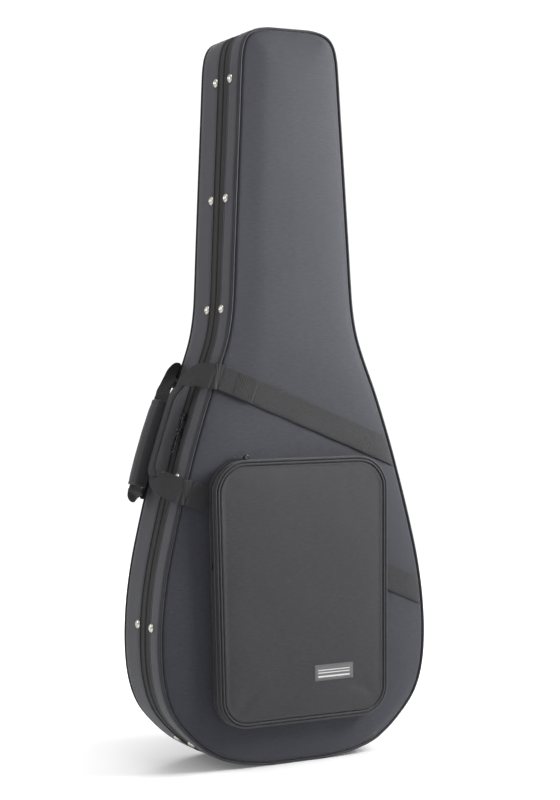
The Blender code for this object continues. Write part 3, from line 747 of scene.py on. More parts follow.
def look(kind):
    """The bag's finish of that kind, made the first time it is asked for."""
    name = "gig_bag_" + kind
    if name in bpy.data.materials:
        return bpy.data.materials[name]
    tints = bpy.context.scene.gig_bag.cloth
    pitch = tints.thread_pitch
    makers = {
        "shell": lambda: cloth_look(name, tints.shell, (pitch, pitch), 0.00016, sheen=0.3, rough=0.6,
                                    contrast=0.2, dust=0.12, creases=0.0004),
        "pocket": lambda: cloth_look(name, tints.pocket, (pitch, pitch), 0.00016, sheen=0.3, rough=0.62,
                                     contrast=0.22, dust=0.12, creases=0.0005),
        "piping": lambda: cloth_look(name, tints.piping, (0.0006, 0.0006), 0.0001, sheen=0.2, rough=0.6, dust=0.15),
        "binding": lambda: cloth_look(name, tints.binding, (0.0007, 0.0011), 0.00014, sheen=0.3, dust=0.15),
        "tape": lambda: cloth_look(name, tints.tape, (0.0009, 0.0005), 0.00012, sheen=0.15, dust=0.15),
        "webbing": lambda: cloth_look(name, tints.webbing, (0.0026, 0.0013), 0.00038, sheen=0.2, rough=0.7,
                                      contrast=0.22, dust=0.2),
        "thread": lambda: cloth_look(name, tints.thread, (0.0004, 0.0004), 0.0001, sheen=0.2, dust=0.0),
        "grip": lambda: cloth_look(name, tints.grip, (0.0008, 0.0008), 0.00018, sheen=0.25, rough=0.65,
                                   contrast=0.25, creases=0.0009),
        "plush": lambda: plush_look(name, tints.plush),
        "foam": lambda: foam_look(name, tints.foam),
        "nickel": lambda: metal_look(name, (0.80, 0.76, 0.69), (0.55, 0.5, 0.42), 0.14, 0.24),
        "dark_metal": lambda: metal_look(name, (0.13, 0.13, 0.14), (0.6, 0.59, 0.57), 0.12, 0.2),
        "coil": lambda: plastic_look(name, (0.022, 0.022, 0.024)),
        "plastic": lambda: plastic_look(name, (0.02, 0.02, 0.021)),
        "label": lambda: label_look(name, (0.13, 0.13, 0.135), (0.72, 0.72, 0.71)),
    }
    return makers[kind]()


# ---------------------------------------------------------------- settings


class ClothTints(bpy.types.PropertyGroup):
    """Colours of the bag's cloths and foam."""

    shell: FloatVectorProperty(name="Shell", description="Outer cloth of the case", subtype="COLOR", size=3,
                               min=0, max=1, default=(0.031, 0.032, 0.0455))
    pocket: FloatVectorProperty(name="Pocket", description="Cloth of the pocket and strap pads", subtype="COLOR",
                                size=3, min=0, max=1, default=(0.0285, 0.0272, 0.0325))
    webbing: FloatVectorProperty(name="Webbing", description="Straps and handles", subtype="COLOR", size=3,
                                 min=0, max=1, default=(0.027, 0.0265, 0.029))
    piping: FloatVectorProperty(name="Piping", description="Cord covering at the edges", subtype="COLOR", size=3,
                                min=0, max=1, default=(0.03, 0.03, 0.037))
    binding: FloatVectorProperty(name="Binding", description="Edge binding round the opening", subtype="COLOR",
                                 size=3, min=0, max=1, default=(0.03, 0.03, 0.034))
    tape: FloatVectorProperty(name="Zip tape", description="Cloth of the zip tapes", subtype="COLOR", size=3,
                              min=0, max=1, default=(0.012, 0.012, 0.014))
    thread: FloatVectorProperty(name="Thread", description="Sewing thread", subtype="COLOR", size=3,
                                min=0, max=1, default=(0.045, 0.045, 0.051))
    grip: FloatVectorProperty(name="Grip", description="Padded grip cover", subtype="COLOR", size=3,
                              min=0, max=1, default=(0.026, 0.026, 0.03))
    plush: FloatVectorProperty(name="Plush", description="Lining pile", subtype="COLOR", size=3,
                               min=0, max=1, default=(0.05, 0.05, 0.056))
    foam: FloatVectorProperty(name="Foam", description="Foam core", subtype="COLOR", size=3,
                              min=0, max=1, default=(0.3, 0.3, 0.31))
    thread_pitch: FloatProperty(name="Thread pitch", description="Distance between threads of the outer cloth",
                                unit="LENGTH", min=0.0002, max=0.003, default=0.0008)


class CaseShape(bpy.types.PropertyGroup):
    """How far cloth stands proud of the frame."""

    lid_crown: FloatProperty(name="Lid crown", description="Rise of the padded front", unit="LENGTH",
                             min=0, max=0.008, default=0.005)
    rear_crown: FloatProperty(name="Rear crown", description="Rise of the padded back", unit="LENGTH",
                              min=0, max=0.006, default=0.002)
    pocket_puff: FloatProperty(name="Pocket puff", description="Rise of the pocket's front", unit="LENGTH",
                               min=0, max=0.008, default=0.0026)
    piping_radius: FloatProperty(name="Piping radius", description="Radius of the edge piping", unit="LENGTH",
                                 min=0.001, max=0.003, default=0.0019)
    tooth_pitch: FloatProperty(name="Tooth pitch", description="Distance between zip teeth", unit="LENGTH",
                               min=0.0015, max=0.005, default=0.0026)


class StudioSettings(bpy.types.PropertyGroup):
    """Floor, lights and camera."""

    key_power: FloatProperty(name="Key power", description="Large soft light at the right", unit="POWER",
                             min=0, default=24.0)
    top_power: FloatProperty(name="Top power", description="Soft light above", unit="POWER", min=0, default=10.0)
    side_power: FloatProperty(name="Side power", description="Soft light at the left rear", unit="POWER",
                              min=0, default=9.0)
    back_power: FloatProperty(name="Back power", description="Soft light behind", unit="POWER", min=0, default=26.0)
    sky: FloatProperty(name="Sky", description="Strength of the even white surround", min=0, default=0.46)
    lens: FloatProperty(name="Lens", description="Focal length", unit="CAMERA", min=10, default=79.5)


class GigBagSettings(bpy.types.PropertyGroup):
    """All settings of the gig bag."""

    cloth: PointerProperty(type=ClothTints, name="Cloth", description="Colours and weave")
    shape: PointerProperty(type=CaseShape, name="Shape", description="Padding and piping")
    studio: PointerProperty(type=StudioSettings, name="Studio", description="Floor, lights and camera")


class BagOperator(bpy.types.Operator):
    """Base of the bag's operators."""

    bl_idname = "gig_bag.base"
    bl_label = "Gig bag piece"
    bl_options = {"REGISTER", "UNDO"}

    def execute(self, context):
        self.make(context.scene.gig_bag)
        return {"FINISHED"}

    def make(self, bag):
        raise NotImplementedError


# ---------------------------------------------------------------- case


def rail_path(rim, y, inset, start=None, end=None, step=4.0):
    start, end = (0.0, rim.length) if start is None else (start, end)
    count = max(2, round((end - start) / step))
    return [rim.rail(start + (end - start) * k / count, y, inset) for k in range(count + 1)]


def outward(rim):
    """Outward direction of the wall nearest to a point of a path round the rim."""
    def out(point):
        x, z = point.x, point.z
        if z < rim.heights[0] + 6 and abs(x) < rim.side[0].x:
            return Vector((0, 0, -1))
        if z > rim.heights[-1] - 6 and abs(x) < rim.side[-1].x:
            return Vector((0, 0, 1))
        _, normal = rim.at(rim.run_at(min(max(z, rim.heights[0]), rim.heights[-1] - 0.01), 1 if x > 0 else -1))
        return Vector((-normal.x, 0, -normal.y))
    return out


class MakeCovers(BagOperator):
    """Outer cloth of both half shells: crowned panels, edge seams, side walls and their turned hems."""

    bl_idname = "gig_bag.covers"
    bl_label = "Case covers"

    def make(self, bag):
        for half, side in (("lid", -1), ("rear", 1)):
            hem = PARTING + side * 17.8
            section = [(side * 67.9, 9.2), (side * 67.5, 7.2), (side * 66.7, 5.6), (side * 65.4, 4.5),
                       (side * 63.8, 3.7), (side * 62.4, 2.2), (side * 61.2, 0.9), (side * 59.2, 0.1)]
            wall_end = hem + side * 5.5
            section += [(side * 59.2 + (wall_end - side * 59.2) * k / 5, -0.1) for k in range(1, 6)]
            section += [(hem + side * 4.2, 0.05), (hem + side * 3.4, 0.45), (hem + side * 2.6, -0.05),
                        (hem + side * 1.2, -0.35), (hem + side * 0.35, -0.25), (hem, 0.35), (hem + side * 0.5, 1.0)]
            shape = skin(CASE, 12.0, lambda x, z, s=side: face_at(s, x, z), section, 44, 150, dent=0.5)
            cover = piece(half + "_outer_cloth", shape, look("shell"), BODY_OF[half],
                          (half + "_cover",), wall=0.9)
            seams = bmesh.new()
            out = outward(CASE)
            sew(seams, rail_path(CASE, hem + side * 3.4, 0.2), out)
            piece(half + "_hem_stitches", seams, look("thread"), BODY_OF[half], closed=True)


class MakePiping(BagOperator):
    """Covered cord sewn into the front and rear edges."""

    bl_idname = "gig_bag.piping"
    bl_label = "Edge piping"

    def make(self, bag):
        radius = bag.shape.piping_radius / MM
        for half, side in (("lid", -1), ("rear", 1)):
            shape = sweep(CASE, round_section(side * 65.9, 1.9, radius), 420)
            join(shape, sweep(CASE, [(side * 65.2, 3.0), (side * 65.0, 4.6), (side * 64.6, 4.6), (side * 64.8, 3.0),
                                     (side * 65.2, 3.0)], 300))
            piece(half + "_edge_piping", shape, look("piping"), BODY_OF[half],
                  (half + "_piping",), closed=True)


def zip_run():
    """Stretch of the outline that carries the zip: all but the cloth hinge on the right."""
    return CASE.run_at(SPINE_HIGH) + 1, CASE.run_at(SPINE_LOW) + CASE.length - 1


def teeth(rim, y, inset, start, end, pitch, shift, size=(1.5, 2.3, 1.5)):
    """Moulded coil turns along the rim."""
    shape = bmesh.new()
    grain = stitch_mesh()
    out = outward(rim)
    count = int((end - start) / pitch)
    for k in range(count):
        run = start + (k + shift) * pitch
        point, ahead = rim.rail(run, y, inset), rim.rail(run + 1, y, inset)
        matrix = frame_matrix(point, (ahead - point).normalized(), out(point)) @ Matrix.Diagonal((*size, 1))
        grain.transform(matrix)
        shape.from_mesh(grain)
        grain.transform(matrix.inverted())
    return shape


class MakeZip(BagOperator):
    """Both tapes of the main zip, their coils and stitch lines."""

    bl_idname = "gig_bag.zip"
    bl_label = "Main zip"

    def make(self, bag):
        start, end = zip_run()
        pitch = bag.shape.tooth_pitch / MM
        for half, side, shift in (("lid", -1, 0.0), ("rear", 1, 0.5)):
            inner = PARTING + side * 0.35
            section = [(inner + side * 18.2, 1.2), (inner + side * 16.8, 1.05), (inner + side * 14, 0.95),
                       (inner + side * 9, 0.75), (inner + side * 5, 0.7), (inner + side * 3.4, 0.5),
                       (inner + side * 2.2, 0.75), (inner + side * 1.2, 1.1), (inner, 1.5)]
            shape = sweep(CASE, section, 340, start, end)
            piece(half + "_zip_cloth", shape, look("tape"), BODY_OF[half],
                  (half + "_zip_tape",), wall=0.7)
            coil = teeth(CASE, PARTING + side * 1.15, 0.55, start + 3, end - 3, pitch, shift)
            piece(half + "_zip_coil", coil, look("coil"), BODY_OF[half], closed=True)
            seams = bmesh.new()
            for away in (14.9, 4.4):
                sew(seams, rail_path(CASE, PARTING + side * away, 0.72, start, end), outward(CASE), 3.4, 2.4, 0.6)
            piece(half + "_zip_stitches", seams, look("thread"), BODY_OF[half], closed=True)


class MakeSpine(BagOperator):
    """Cloth hinge on the right side."""

    bl_idname = "gig_bag.spine"
    bl_label = "Cloth hinge"

    def make(self, bag):
        low, high = CASE.run_at(SPINE_LOW), CASE.run_at(SPINE_HIGH)
        ys = [6.2 - 36.4 * k / 22 for k in range(23)]
        section = [(y, 0.75 - 0.55 * math.exp(-((abs(y - PARTING) - 9) / 5) ** 2)) for y in ys]
        shape = sweep(CASE, section, 60, low - 2.5, high + 2.5)
        area = sum(f.calc_area() for f in shape.faces) * MM * MM
        hinge = piece("spine_cloth", shape, look("shell"), None, ("spine_hinge",), wall=0.8)
        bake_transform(hinge)
        for half, side in (("lid", -1), ("rear", 1)):
            seams = bmesh.new()
            for run in (low, high):
                path = [CASE.rail(run, PARTING + side * (1.5 + 15.5 * k / 6), 0.1) for k in range(7)]
                sew(seams, path, outward(CASE), 2.6, 2.2, 0.9)
            piece(half + "_zip_end_tacks", seams, look("thread"), BODY_OF[half], closed=True)


class MakeInside(BagOperator):
    """Foam trays, plush linings and bound rims that show when the lid is open."""

    bl_idname = "gig_bag.inside"
    bl_label = "Foam, linings and rims"

    def make(self, bag):
        for half, side, floor in (("lid", -1, -52.5), ("rear", 1, 50.5)):
            section = [(side * 64.6, 9.0), (side * 63.6, 6.0), (side * 61.5, 3.6), (side * 58.5, 2.6)]
            section += [(side * 58.5 + (PARTING + side * 3.0 - side * 58.5) * k / 5, 2.5) for k in range(1, 6)]
            shape = skin(CASE, 14.0, lambda x, z, s=side: s * (65.2 + 0.4 * soft(x, z, 25, 9.0)), section, 30, 110)
            foam = piece(half + "_foam_tray", shape, look("foam"), BODY_OF[half], (half + "_foam",),
                         wall=12.0)
            mouth = PARTING + side * 1.2

            def lie(x, z, s=side, f=floor):
                rise = swell(CASE.depth(x, z), 34, 30)
                return f - s * (2.0 * (1 - rise) + 0.5 * soft(x, z, 70, 40.0))

            section = [(floor - side * (2.4 + 9 * (1 - math.cos(a))), 33 - 12 * math.sin(a))
                       for a in (0.3, 0.6, 0.9, 1.2, 1.5)]
            last = section[-1][0]
            section += [(last + (mouth + side * 1.6 - last) * k / 4, 20.9) for k in (1, 2, 3, 4)]
            shape = skin(CASE, 34, lie, section, 36, 110)
            lining = piece(half + "_plush_lining", shape, look("plush"), BODY_OF[half],
                           (half + "_lining",), wall=1.0, facing=-1)
            rim = [(mouth - side * 1.0, 2.2), (mouth - side * 1.0, 18.8), (mouth - side * 0.7, 20.4),
                   (mouth + side * 0.8, 21.3), (mouth + side * 3.0, 21.1), (mouth + side * 3.0, 20.4),
                   (mouth, 19.6), (mouth, 1.6), (mouth - side * 1.0, 2.2)]
            piece(half + "_bound_rim", sweep(CASE, rim, 300), look("binding"), BODY_OF[half],
                  (half + "_rim",), closed=True)
            seams = bmesh.new()
            sew(seams, rail_path(CASE, mouth - side * 0.9, 17.6), lambda p, s=side: Vector((0, -s, 0)), 4.0, 3.0, 0.5)
            piece(half + "_rim_stitches", seams, look("thread"), BODY_OF[half], closed=True)


class MakeStuds(BagOperator):
    """Domed nickel studs beside the zip, each with its pressed rim and centre."""

    bl_idname = "gig_bag.studs"
    bl_label = "Studs"

    def make(self, bag):
        profile = [(0, 2.35), (1.1, 2.4), (1.7, 2.75), (2.5, 3.3), (3.6, 3.25), (4.8, 2.7), (5.8, 1.85), (6.5, 0.95),
                   (6.75, 0.35), (6.55, 0.0), (4.0, -0.15), (0, -0.15)]
        for half, y in STUD_ROWS.items():
            for number, height in enumerate(STUD_HEIGHTS, 1):
                shape = bmesh.new()
                points = [shape.verts.new((r, 0, h)) for r, h in profile]
                edges = [shape.edges.new(pair) for pair in zip(points, points[1:])]
                bmesh.ops.spin(shape, geom=points + edges, cent=(0, 0, 0), axis=(0, 0, 1), angle=2 * math.pi,
                               steps=28, use_merge=True)
                bmesh.ops.remove_doubles(shape, verts=shape.verts, dist=0.005)
                for face in shape.faces:
                    face.smooth = True
                point, normal = CASE.at(CASE.run_at(height, -1))
                out = Vector((-normal.x, 0, -normal.y))
                seat = Vector((point.x, y, point.y)) + out * 0.25
                bmesh.ops.transform(shape, matrix=frame_matrix(seat, Vector((0, 1, 0)), out), verts=shape.verts)
                piece(f"{half}_nickel_stud_{number}", shape, look("nickel"), BODY_OF[half],
                      (f"{half}_stud_{number}",), closed=True)


# ---------------------------------------------------------------- straps and handles


def strap_point(line, side, along, off, lift):
    """Point of a strap on a face: that far along it from the middle, off to one side, lifted from the cloth."""
    height, slope = line
    way = Vector((1, slope)).normalized()
    flat = Vector((0, height)) + way * along + Vector((-way.y, way.x)) * off
    return Vector((flat.x, face_at(side, flat.x, flat.y) + side * lift, flat.y))


def strap_reach(line, side, off, way, inset=7.0):
    along = 60.0
    while True:
        point = strap_point(line, side, way * along, off, 0)
        if CASE.depth(point.x, point.z) < inset or along > 320:
            return way * along
        along += 0.5


def box_stitches(shape, corner_points, lift):
    """A sewn box with its two diagonals, on four corners."""
    a, b, c, d = corner_points
    for first, last in ((a, b), (b, c), (c, d), (d, a), (a, c), (b, d)):
        path = [first.lerp(last, k / 8) for k in range(9)]
        sew(shape, path, lambda p: lift, 3.2, 2.4, 0.7)


class MakeFaceStraps(BagOperator):
    """Webbing straps sewn across the front and back, with their edge stitches."""

    bl_idname = "gig_bag.face_straps"
    bl_label = "Sewn straps"

    def make(self, bag):
        for half, side in (("lid", -1), ("rear", 1)):
            for part, line in (("upper", UPPER_STRIP), ("lower", LOWER_STRIP)):
                ends = {k: (strap_reach(line, side, 19.0 * k / 4, -1), strap_reach(line, side, 19.0 * k / 4, 1))
                        for k in range(-4, 5)}

                def place(u, v):
                    k = round(v * 8) - 4
                    low, high = ends[k]
                    along = low + (high - low) * u
                    tuck = 1.3 * (math.exp(-u * 60) + math.exp(-(1 - u) * 60))
                    ripple = 0.25 * math.sin(along / 9) * (abs(k) == 4)
                    point = strap_point(line, side, along, 19.0 * k / 4, 1.95 + ripple - tuck)
                    return point, (along, 19.0 * k / 4)

                piece(f"{half}_strap_{part}", lay_grid(96, 8, place), look("webbing"), BODY_OF[half],
                      (f"{half}_webbing_{part}",), wall=1.5, edge=0.35)
                seams = bmesh.new()
                low, high = max(e[0] for e in ends.values()) + 4, min(e[1] for e in ends.values()) - 4
                for off in (-16.2, 16.2):
                    count = round((high - low) / 6)
                    path = [strap_point(line, side, low + (high - low) * k / count, off, 1.98)
                            for k in range(count + 1)]
                    sew(seams, path, lambda p, s=side: Vector((0, s, 0)), 3.8, 2.8, 0.75)
                if half == "lid":
                    for at in (high - 18, high - 30):
                        path = [strap_point(line, side, at + off * 0.2, off, 2.0) for off in range(-15, 16, 3)]
                        sew(seams, path, lambda p: Vector((0, -1, 0)), 3.2, 2.5, 0.8)
                piece(f"{half}_strap_{part}_stitches", seams, look("thread"), BODY_OF[half], closed=True)


TILT = math.radians(18.5)
HANDLE_ALONG = Vector((-math.sin(TILT), 0, -math.cos(TILT)))
HANDLE_OUT = Vector((-math.cos(TILT), 0, math.sin(TILT)))
HANDLE_HEIGHT = 505.0
GRIP_MIDDLE, GRIP_Y, GRIP_RISE = 33.0, 31.0, 28.5


def handle_centre():
    half = CASE.half_width(HANDLE_HEIGHT)
    return Vector((-half, 0, HANDLE_HEIGHT))


def handle_point(t, y, n):
    return handle_centre() + HANDLE_ALONG * t + HANDLE_OUT * n + Vector((0, y, 0))


def handle_way(t, y, n=0.0):
    return HANDLE_ALONG * t + HANDLE_OUT * n + Vector((0, y, 0))


def face_end(line, side, reach, sign):
    """Stations of a handle's end, from where it is sewn on the face, over the piping and on to the wall."""
    edge = strap_reach(line, side, 0.0, -1, 4.0)
    wide = Vector((-line[1], 0, 1)).normalized() * sign
    stations = []
    for away, lift in ((reach, 3.3), (reach * 0.72, 3.4), (reach * 0.45, 3.4), (reach * 0.2, 3.4), (3.0, 3.3)):
        stations.append((strap_point(line, side, edge + away, 0.0, lift), wide, 18.4, 0.0, 0.0))
    turn = stations[-1][0]
    run = CASE.run_at(turn.z, -1)
    stations.append((CASE.rail(run, side * 70.0, -0.6), wide, 18.4, 0.0, 0.0))
    stations.append((CASE.rail(run, side * 67.4, -2.4), wide, 18.4, 0.0, 0.0))
    return stations


class MakeHandles(BagOperator):
    """Both carry handles: webbing sewn to the faces that folds in two between its legs, and the padded grip."""

    bl_idname = "gig_bag.handles"
    bl_label = "Carry handles"

    def make(self, bag):
        front = [(-81.8, -62, 1.6, (1, 0), 18.6, 0.0, 0.0), (-82.3, -52, 4.8, (1, 0), 18.6, 0.0, 0.3),
                 (-80, -36, 10.5, (1, 0), 18.3, 0.03, 0.9), (-72, -21, 16, (0.97, -0.24), 17, 0.12, 1.4),
                 (-60, -8, 20.5, (0.8, -0.6), 13.5, 0.5, 2.0), (-47, 1, 23, (0.3, -0.95), 9.5, 0.95, 0.8),
                 (-34, 4, 24, (0, -1), 8.2, 1.0, 0.3), (0, 4.5, 24.3, (0, -1), 8.2, 1.0, 0.2),
                 (34, 4.5, 24.3, (0, -1), 8.2, 1.0, 0.2), (60, 4, 24, (0, -1), 8.2, 1.0, 0.3),
                 (72, 1, 23, (-0.3, -0.95), 10, 0.9, 1.0), (81, -8, 20.5, (-0.8, -0.6), 14.5, 0.45, 2.2),
                 (86.5, -21, 16, (-0.98, -0.2), 18, 0.08, 1.6), (89.5, -36, 10, (-1, 0), 18.6, 0.0, 0.9),
                 (92.5, -52, 4.2, (-1, 0), 18.6, 0.0, 0.3), (94.2, -62, 0.7, (-1, 0), 18.6, 0.0, 0.0)]
        rear = [(-82.3, 63.5, 2.0, (1, 0), 18.6, 0.0, 0.0), (-83, 59.5, 5.5, (1, 0), 18.6, 0.0, 0.4),
                (-81.5, 53.5, 10, (0.95, -0.1, -0.3), 17, 0.06, 1.0), (-74, 46.5, 14, (0.6, -0.5, -0.6), 13, 0.3, 1.4),
                (-62, 39, 18.5, (0.2, -0.75, -0.6), 14, 0.4, 1.2), (-49, 33.5, 24, (0, -0.75, -0.66), 14.5, 0.6, 0.6),
                (-38, 31, 27.5, (0, -0.8, -0.6), 12.5, 1.0, 0.2), (-18, 31, 28.5, (0, -1), 12, 1.0, 0.2),
                (33, 31, 28.5, (0, -1), 12, 1.0, 0.2), (86, 31, 28.5, (0, -1), 12, 1.0, 0.2),
                (103, 31.5, 27, (0, -0.85, -0.5), 12.5, 1.0, 0.2), (108, 33.5, 24.5, (-0.1, -0.9, -0.45), 14.5, 0.8, 0.4),
                (111.5, 38, 19.5, (-0.3, -0.9, -0.2), 15, 0.6, 0.5), (110, 45, 14.5, (-0.6, -0.8), 15, 0.4, 0.8),
                (105, 51, 11.5, (-0.87, -0.5), 14, 0.3, 1.0), (98.5, 56, 7.8, (-1, -0.2), 16, 0.1, 0.7),
                (94.8, 60.5, 4.2, (-1, -0.05), 18, 0.0, 0.4), (94.8, 64, 0.9, (-1, 0), 18.6, 0.0, 0.0)]
        for name, loop, side, parent in (("front", front, -1, "lid"), ("rear", rear, 1, "rear_shell")):
            middle = [(handle_point(t, y, n), handle_way(*w), h, f, c) for t, y, n, w, h, f, c in loop]
            stations = face_end(UPPER_STRIP, side, 62, -1) + middle
            stations += list(reversed(face_end(LOWER_STRIP, side, 34, 1)))
            shape = ribbon(stations, 6, 14)
            handle = piece(name + "_handle_strap", shape, look("webbing"), None,
                           (name + "_handle_webbing",), wall=1.2, edge=0.3)
            pivot = handle_point(0, side * 66, 1)
            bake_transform(handle)
            seams = bmesh.new()
            lift = Vector((0, side, 0))
            for line, reach, sizes in ((UPPER_STRIP, 62, (32, 15)), (LOWER_STRIP, 34, (22, 14))):
                edge = strap_reach(line, side, 0.0, -1, 4.0)
                near, far, wide = edge + reach - 3, edge + reach - sizes[0], sizes[1]
                corners = [strap_point(line, side, a, o, 3.95) for a, o in
                           ((near, -wide), (near, wide), (far, wide), (far, -wide))]
                box_stitches(seams, corners, lift)
                path = [strap_point(line, side, edge + 7, off, 3.9) for off in range(-16, 17, 4)]
                sew(seams, path, lambda p: lift, 3.2, 2.4, 0.8)
            piece(name + "_handle_box_stitches", seams, look("thread"), parent, closed=True)
        self.grip()

    def grip(self):
        """Padded sleeve round the rear handle, lapped and sewn along its outer side."""
        ends = [(54, 12.6, 3.6), (62, 13.6, 4.4), (65.5, 14.8, 6.4), (66.6, 15.6, 8.6), (66.2, 16.3, 10.2),
                (64.6, 16.7, 10.9), (62.2, 16.7, 11.0), (60.8, 16.2, 10.6), (59.6, 16.1, 10.5), (57.6, 16.5, 11.1),
                (52, 16.8, 11.5), (42, 17.0, 11.8), (28, 17.2, 12.0), (14, 17.3, 12.1)]
        rows = [(-t, a, b) for t, a, b in ends] + [(0, 17.3, 12.1)] + list(reversed(ends))

        def around(t, half_y, half_n, angle, proud=0.0):
            c, s = math.cos(angle), math.sin(angle)
            bulge = max(abs(c), abs(s)) ** 0.3
            bow = 1.0 * (1 - (t / 66) ** 2)
            return handle_point(GRIP_MIDDLE + t, GRIP_Y + (half_y + proud) * c / bulge,
                                GRIP_RISE + bow + (half_n + proud) * s / bulge)

        def place(u, v):
            t, half_y, half_n = rows[round(u * (len(rows) - 1))]
            angle = 2 * math.pi * v
            lap = 0.8 / (1 + math.exp(-math.sin(angle - 2.35) * 14)) if half_n > 10 else 0
            pucker = 0.4 * soft(t, angle * 12, 9, 2.0) if half_n > 10 else 0
            return around(t, half_y, half_n, angle, lap + pucker), (t, 90 * v)

        shape = lay_grid(len(rows) - 1, 48, place, merge=True)
        wrap = piece("padded_grip", shape, look("grip"), "rear_handle", ("grip_wrap",), levels=1)
        seams = bmesh.new()
        middle = handle_point(GRIP_MIDDLE, GRIP_Y, GRIP_RISE)
        for angle in (2.7, 2.35 + math.pi - 0.4):
            path = [around(t, 17.3, 12.2, angle, 0.5) for t in range(-56, 57, 4)]
            way = Vector((0, math.cos(angle), 0)) + HANDLE_OUT * math.sin(angle)
            sew(seams, path, lambda p, w=way: w, 3.4, 2.5, 0.7)
        for t in (-60.2, 60.2):
            ring = [around(t, 16.3, 10.7, 2 * math.pi * k / 36, 0.1) for k in range(37)]
            centre = middle + HANDLE_ALONG * t
            sew(seams, ring, lambda p, c=centre: p - c, 3.2, 2.3, 0.7)
        piece("grip_stitches", seams, look("thread"), "rear_handle", closed=True)


# ---------------------------------------------------------------- pocket


class MakePocket(BagOperator):
    """Boxed pocket: puffed front with two beads, gusset, zip round the top, end tabs and woven label."""

    bl_idname = "gig_bag.pocket"
    bl_label = "Music pocket"

    def make(self, bag):
        section = [(-93.2, 11.0), (-92.6, 9.6), (-91.5, 8.5), (-90.9, 7.4), (-90.6, 5.4), (-90.0, 3.9),
                   (-88.8, 3.0), (-88.4, 1.4), (-87.2, 0.5), (-85.4, 0.1), (-84.2, 0.3), (-83.6, 0.8),
                   (-82.2, 0.9), (-80.9, 1.0), (-80.3, 1.4)]
        shape = skin(POCKET, 13.0, pocket_at, section, 46, 84)
        area = sum(f.calc_area() for f in shape.faces) * MM * MM
        front = piece("pocket_front_cloth", shape, look("pocket"), None,
                      ("pocket_lower_panel", "pocket_flap_panel"), wall=0.8)
        self.fold(front)
        beads = sweep(POCKET, round_section(-91.4, 2.1, 1.85), 220)
        join(beads, sweep(POCKET, round_section(-92.2, 6.3, 1.75), 220))
        self.fold(piece("pocket_beads", beads, look("piping"), None,
                        ("pocket_lower_piping", "pocket_flap_piping"), closed=True))
        seams = bmesh.new()
        sew(seams, rail_path(POCKET, -92.9, 9.9), lambda p: Vector((0, -1, 0)), 3.4, 2.5, 0.6)
        self.fold(piece("pocket_front_stitches", seams, look("thread"), None, closed=True))
        self.gusset(bag)
        self.label()

    @staticmethod
    def fold(made):
        """Bakes a piece's placement into its mesh; it does not bend it."""
        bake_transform(made)

    def gusset(self, bag):
        base = [(-66.6, -2.2), (-68.6, -1.8), (-70.0, -1.0), (-70.6, 0.1), (-72.0, -0.1), (-75.4, -0.1),
                (-76.0, 0.35), (-76.6, 0.8), (-78.6, 0.9), (-79.4, 1.1), (-79.7, 1.6)]
        shape = sweep(POCKET, base, 240)
        area = sum(f.calc_area() for f in shape.faces) * MM * MM
        gusset = piece("pocket_gusset_cloth", shape, look("pocket"), "lid",
                       ("pocket_gusset",), wall=0.9)
        seams = bmesh.new()
        sew(seams, rail_path(POCKET, -74.6, -0.15), outward(POCKET), 3.4, 2.5, 0.6)
        piece("pocket_gusset_stitches", seams, look("thread"), "lid", closed=True)
        first, last = POCKET.run_at(POCKET_FOLD + 2), POCKET.run_at(POCKET_FOLD + 2, -1)
        pitch = bag.shape.tooth_pitch / MM * 0.85
        for body, y, shift in (("lid", -79.2, 0.0), ("pocket_flap", -80.8, 0.5)):
            coil = teeth(POCKET, y, 0.5, first, last, pitch, shift, (1.3, 1.9, 1.3))
            piece(body + "_pocket_coil", coil, look("coil"), body, closed=True)
        tabs = bmesh.new()
        for sign in (1, -1):
            point, normal = POCKET.at(POCKET.run_at(POCKET_FOLD - 4, sign))
            out = Vector((-normal.x, 0, -normal.y))
            matrix = frame_matrix(Vector((point.x, POCKET_ZIP + 2.2, point.y)) + out * 0.3, Vector((0, 0, 1)), out)
            block(tabs, (9.0, 4.6, 1.6), matrix, 0.5)
        piece("pocket_zip_end_tabs", tabs, look("tape"), "lid", closed=True)

    def label(self):
        low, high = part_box("pocket_label")
        x0, x1, z0, z1 = (v / MM for v in (low.x, high.x, low.z, high.z))

        def place(u, v):
            x, z = x0 + (x1 - x0) * u, z0 + (z1 - z0) * v
            tuck = 0.35 if min(u, 1 - u) * (x1 - x0) < 1.2 or min(v, 1 - v) * (z1 - z0) < 1.2 else 0.0
            return Vector((x, pocket_at(x, z) - 0.75 + tuck, z)), (x - x0, z - z0)

        piece("woven_label", lay_grid(66, 24, place), look("label"), "lid", ("pocket_label",), wall=0.6,
              edge=0.15)
        seams = bmesh.new()
        corners = [(x0 + 1.6, z0 + 1.6), (x1 - 1.6, z0 + 1.6), (x1 - 1.6, z1 - 1.6), (x0 + 1.6, z1 - 1.6)]
        for a, b in zip(corners, corners[1:] + corners[:1]):
            path = []
            for k in range(13):
                x, z = a[0] + (b[0] - a[0]) * k / 12, a[1] + (b[1] - a[1]) * k / 12
                path.append(Vector((x, pocket_at(x, z) - 0.8, z)))
            sew(seams, path, lambda p: Vector((0, -1, 0)), 2.4, 1.8, 0.5)
        piece("label_stitches", seams, look("thread"), "lid", closed=True)


class MakeZipFittings(BagOperator):
    """Sliders and pulls of the three zips."""

    bl_idname = "gig_bag.zip_fittings"
    bl_label = "Sliders and pulls"

    def make(self, bag):
        for prefix in ("upper", "lower", "pocket"):
            dress_cad(prefix + "_slider", look("dark_metal"), 0.35)
            dress_cad(prefix + "_pull", look("dark_metal"), 0.2)


# ---------------------------------------------------------------- neck rest and back straps


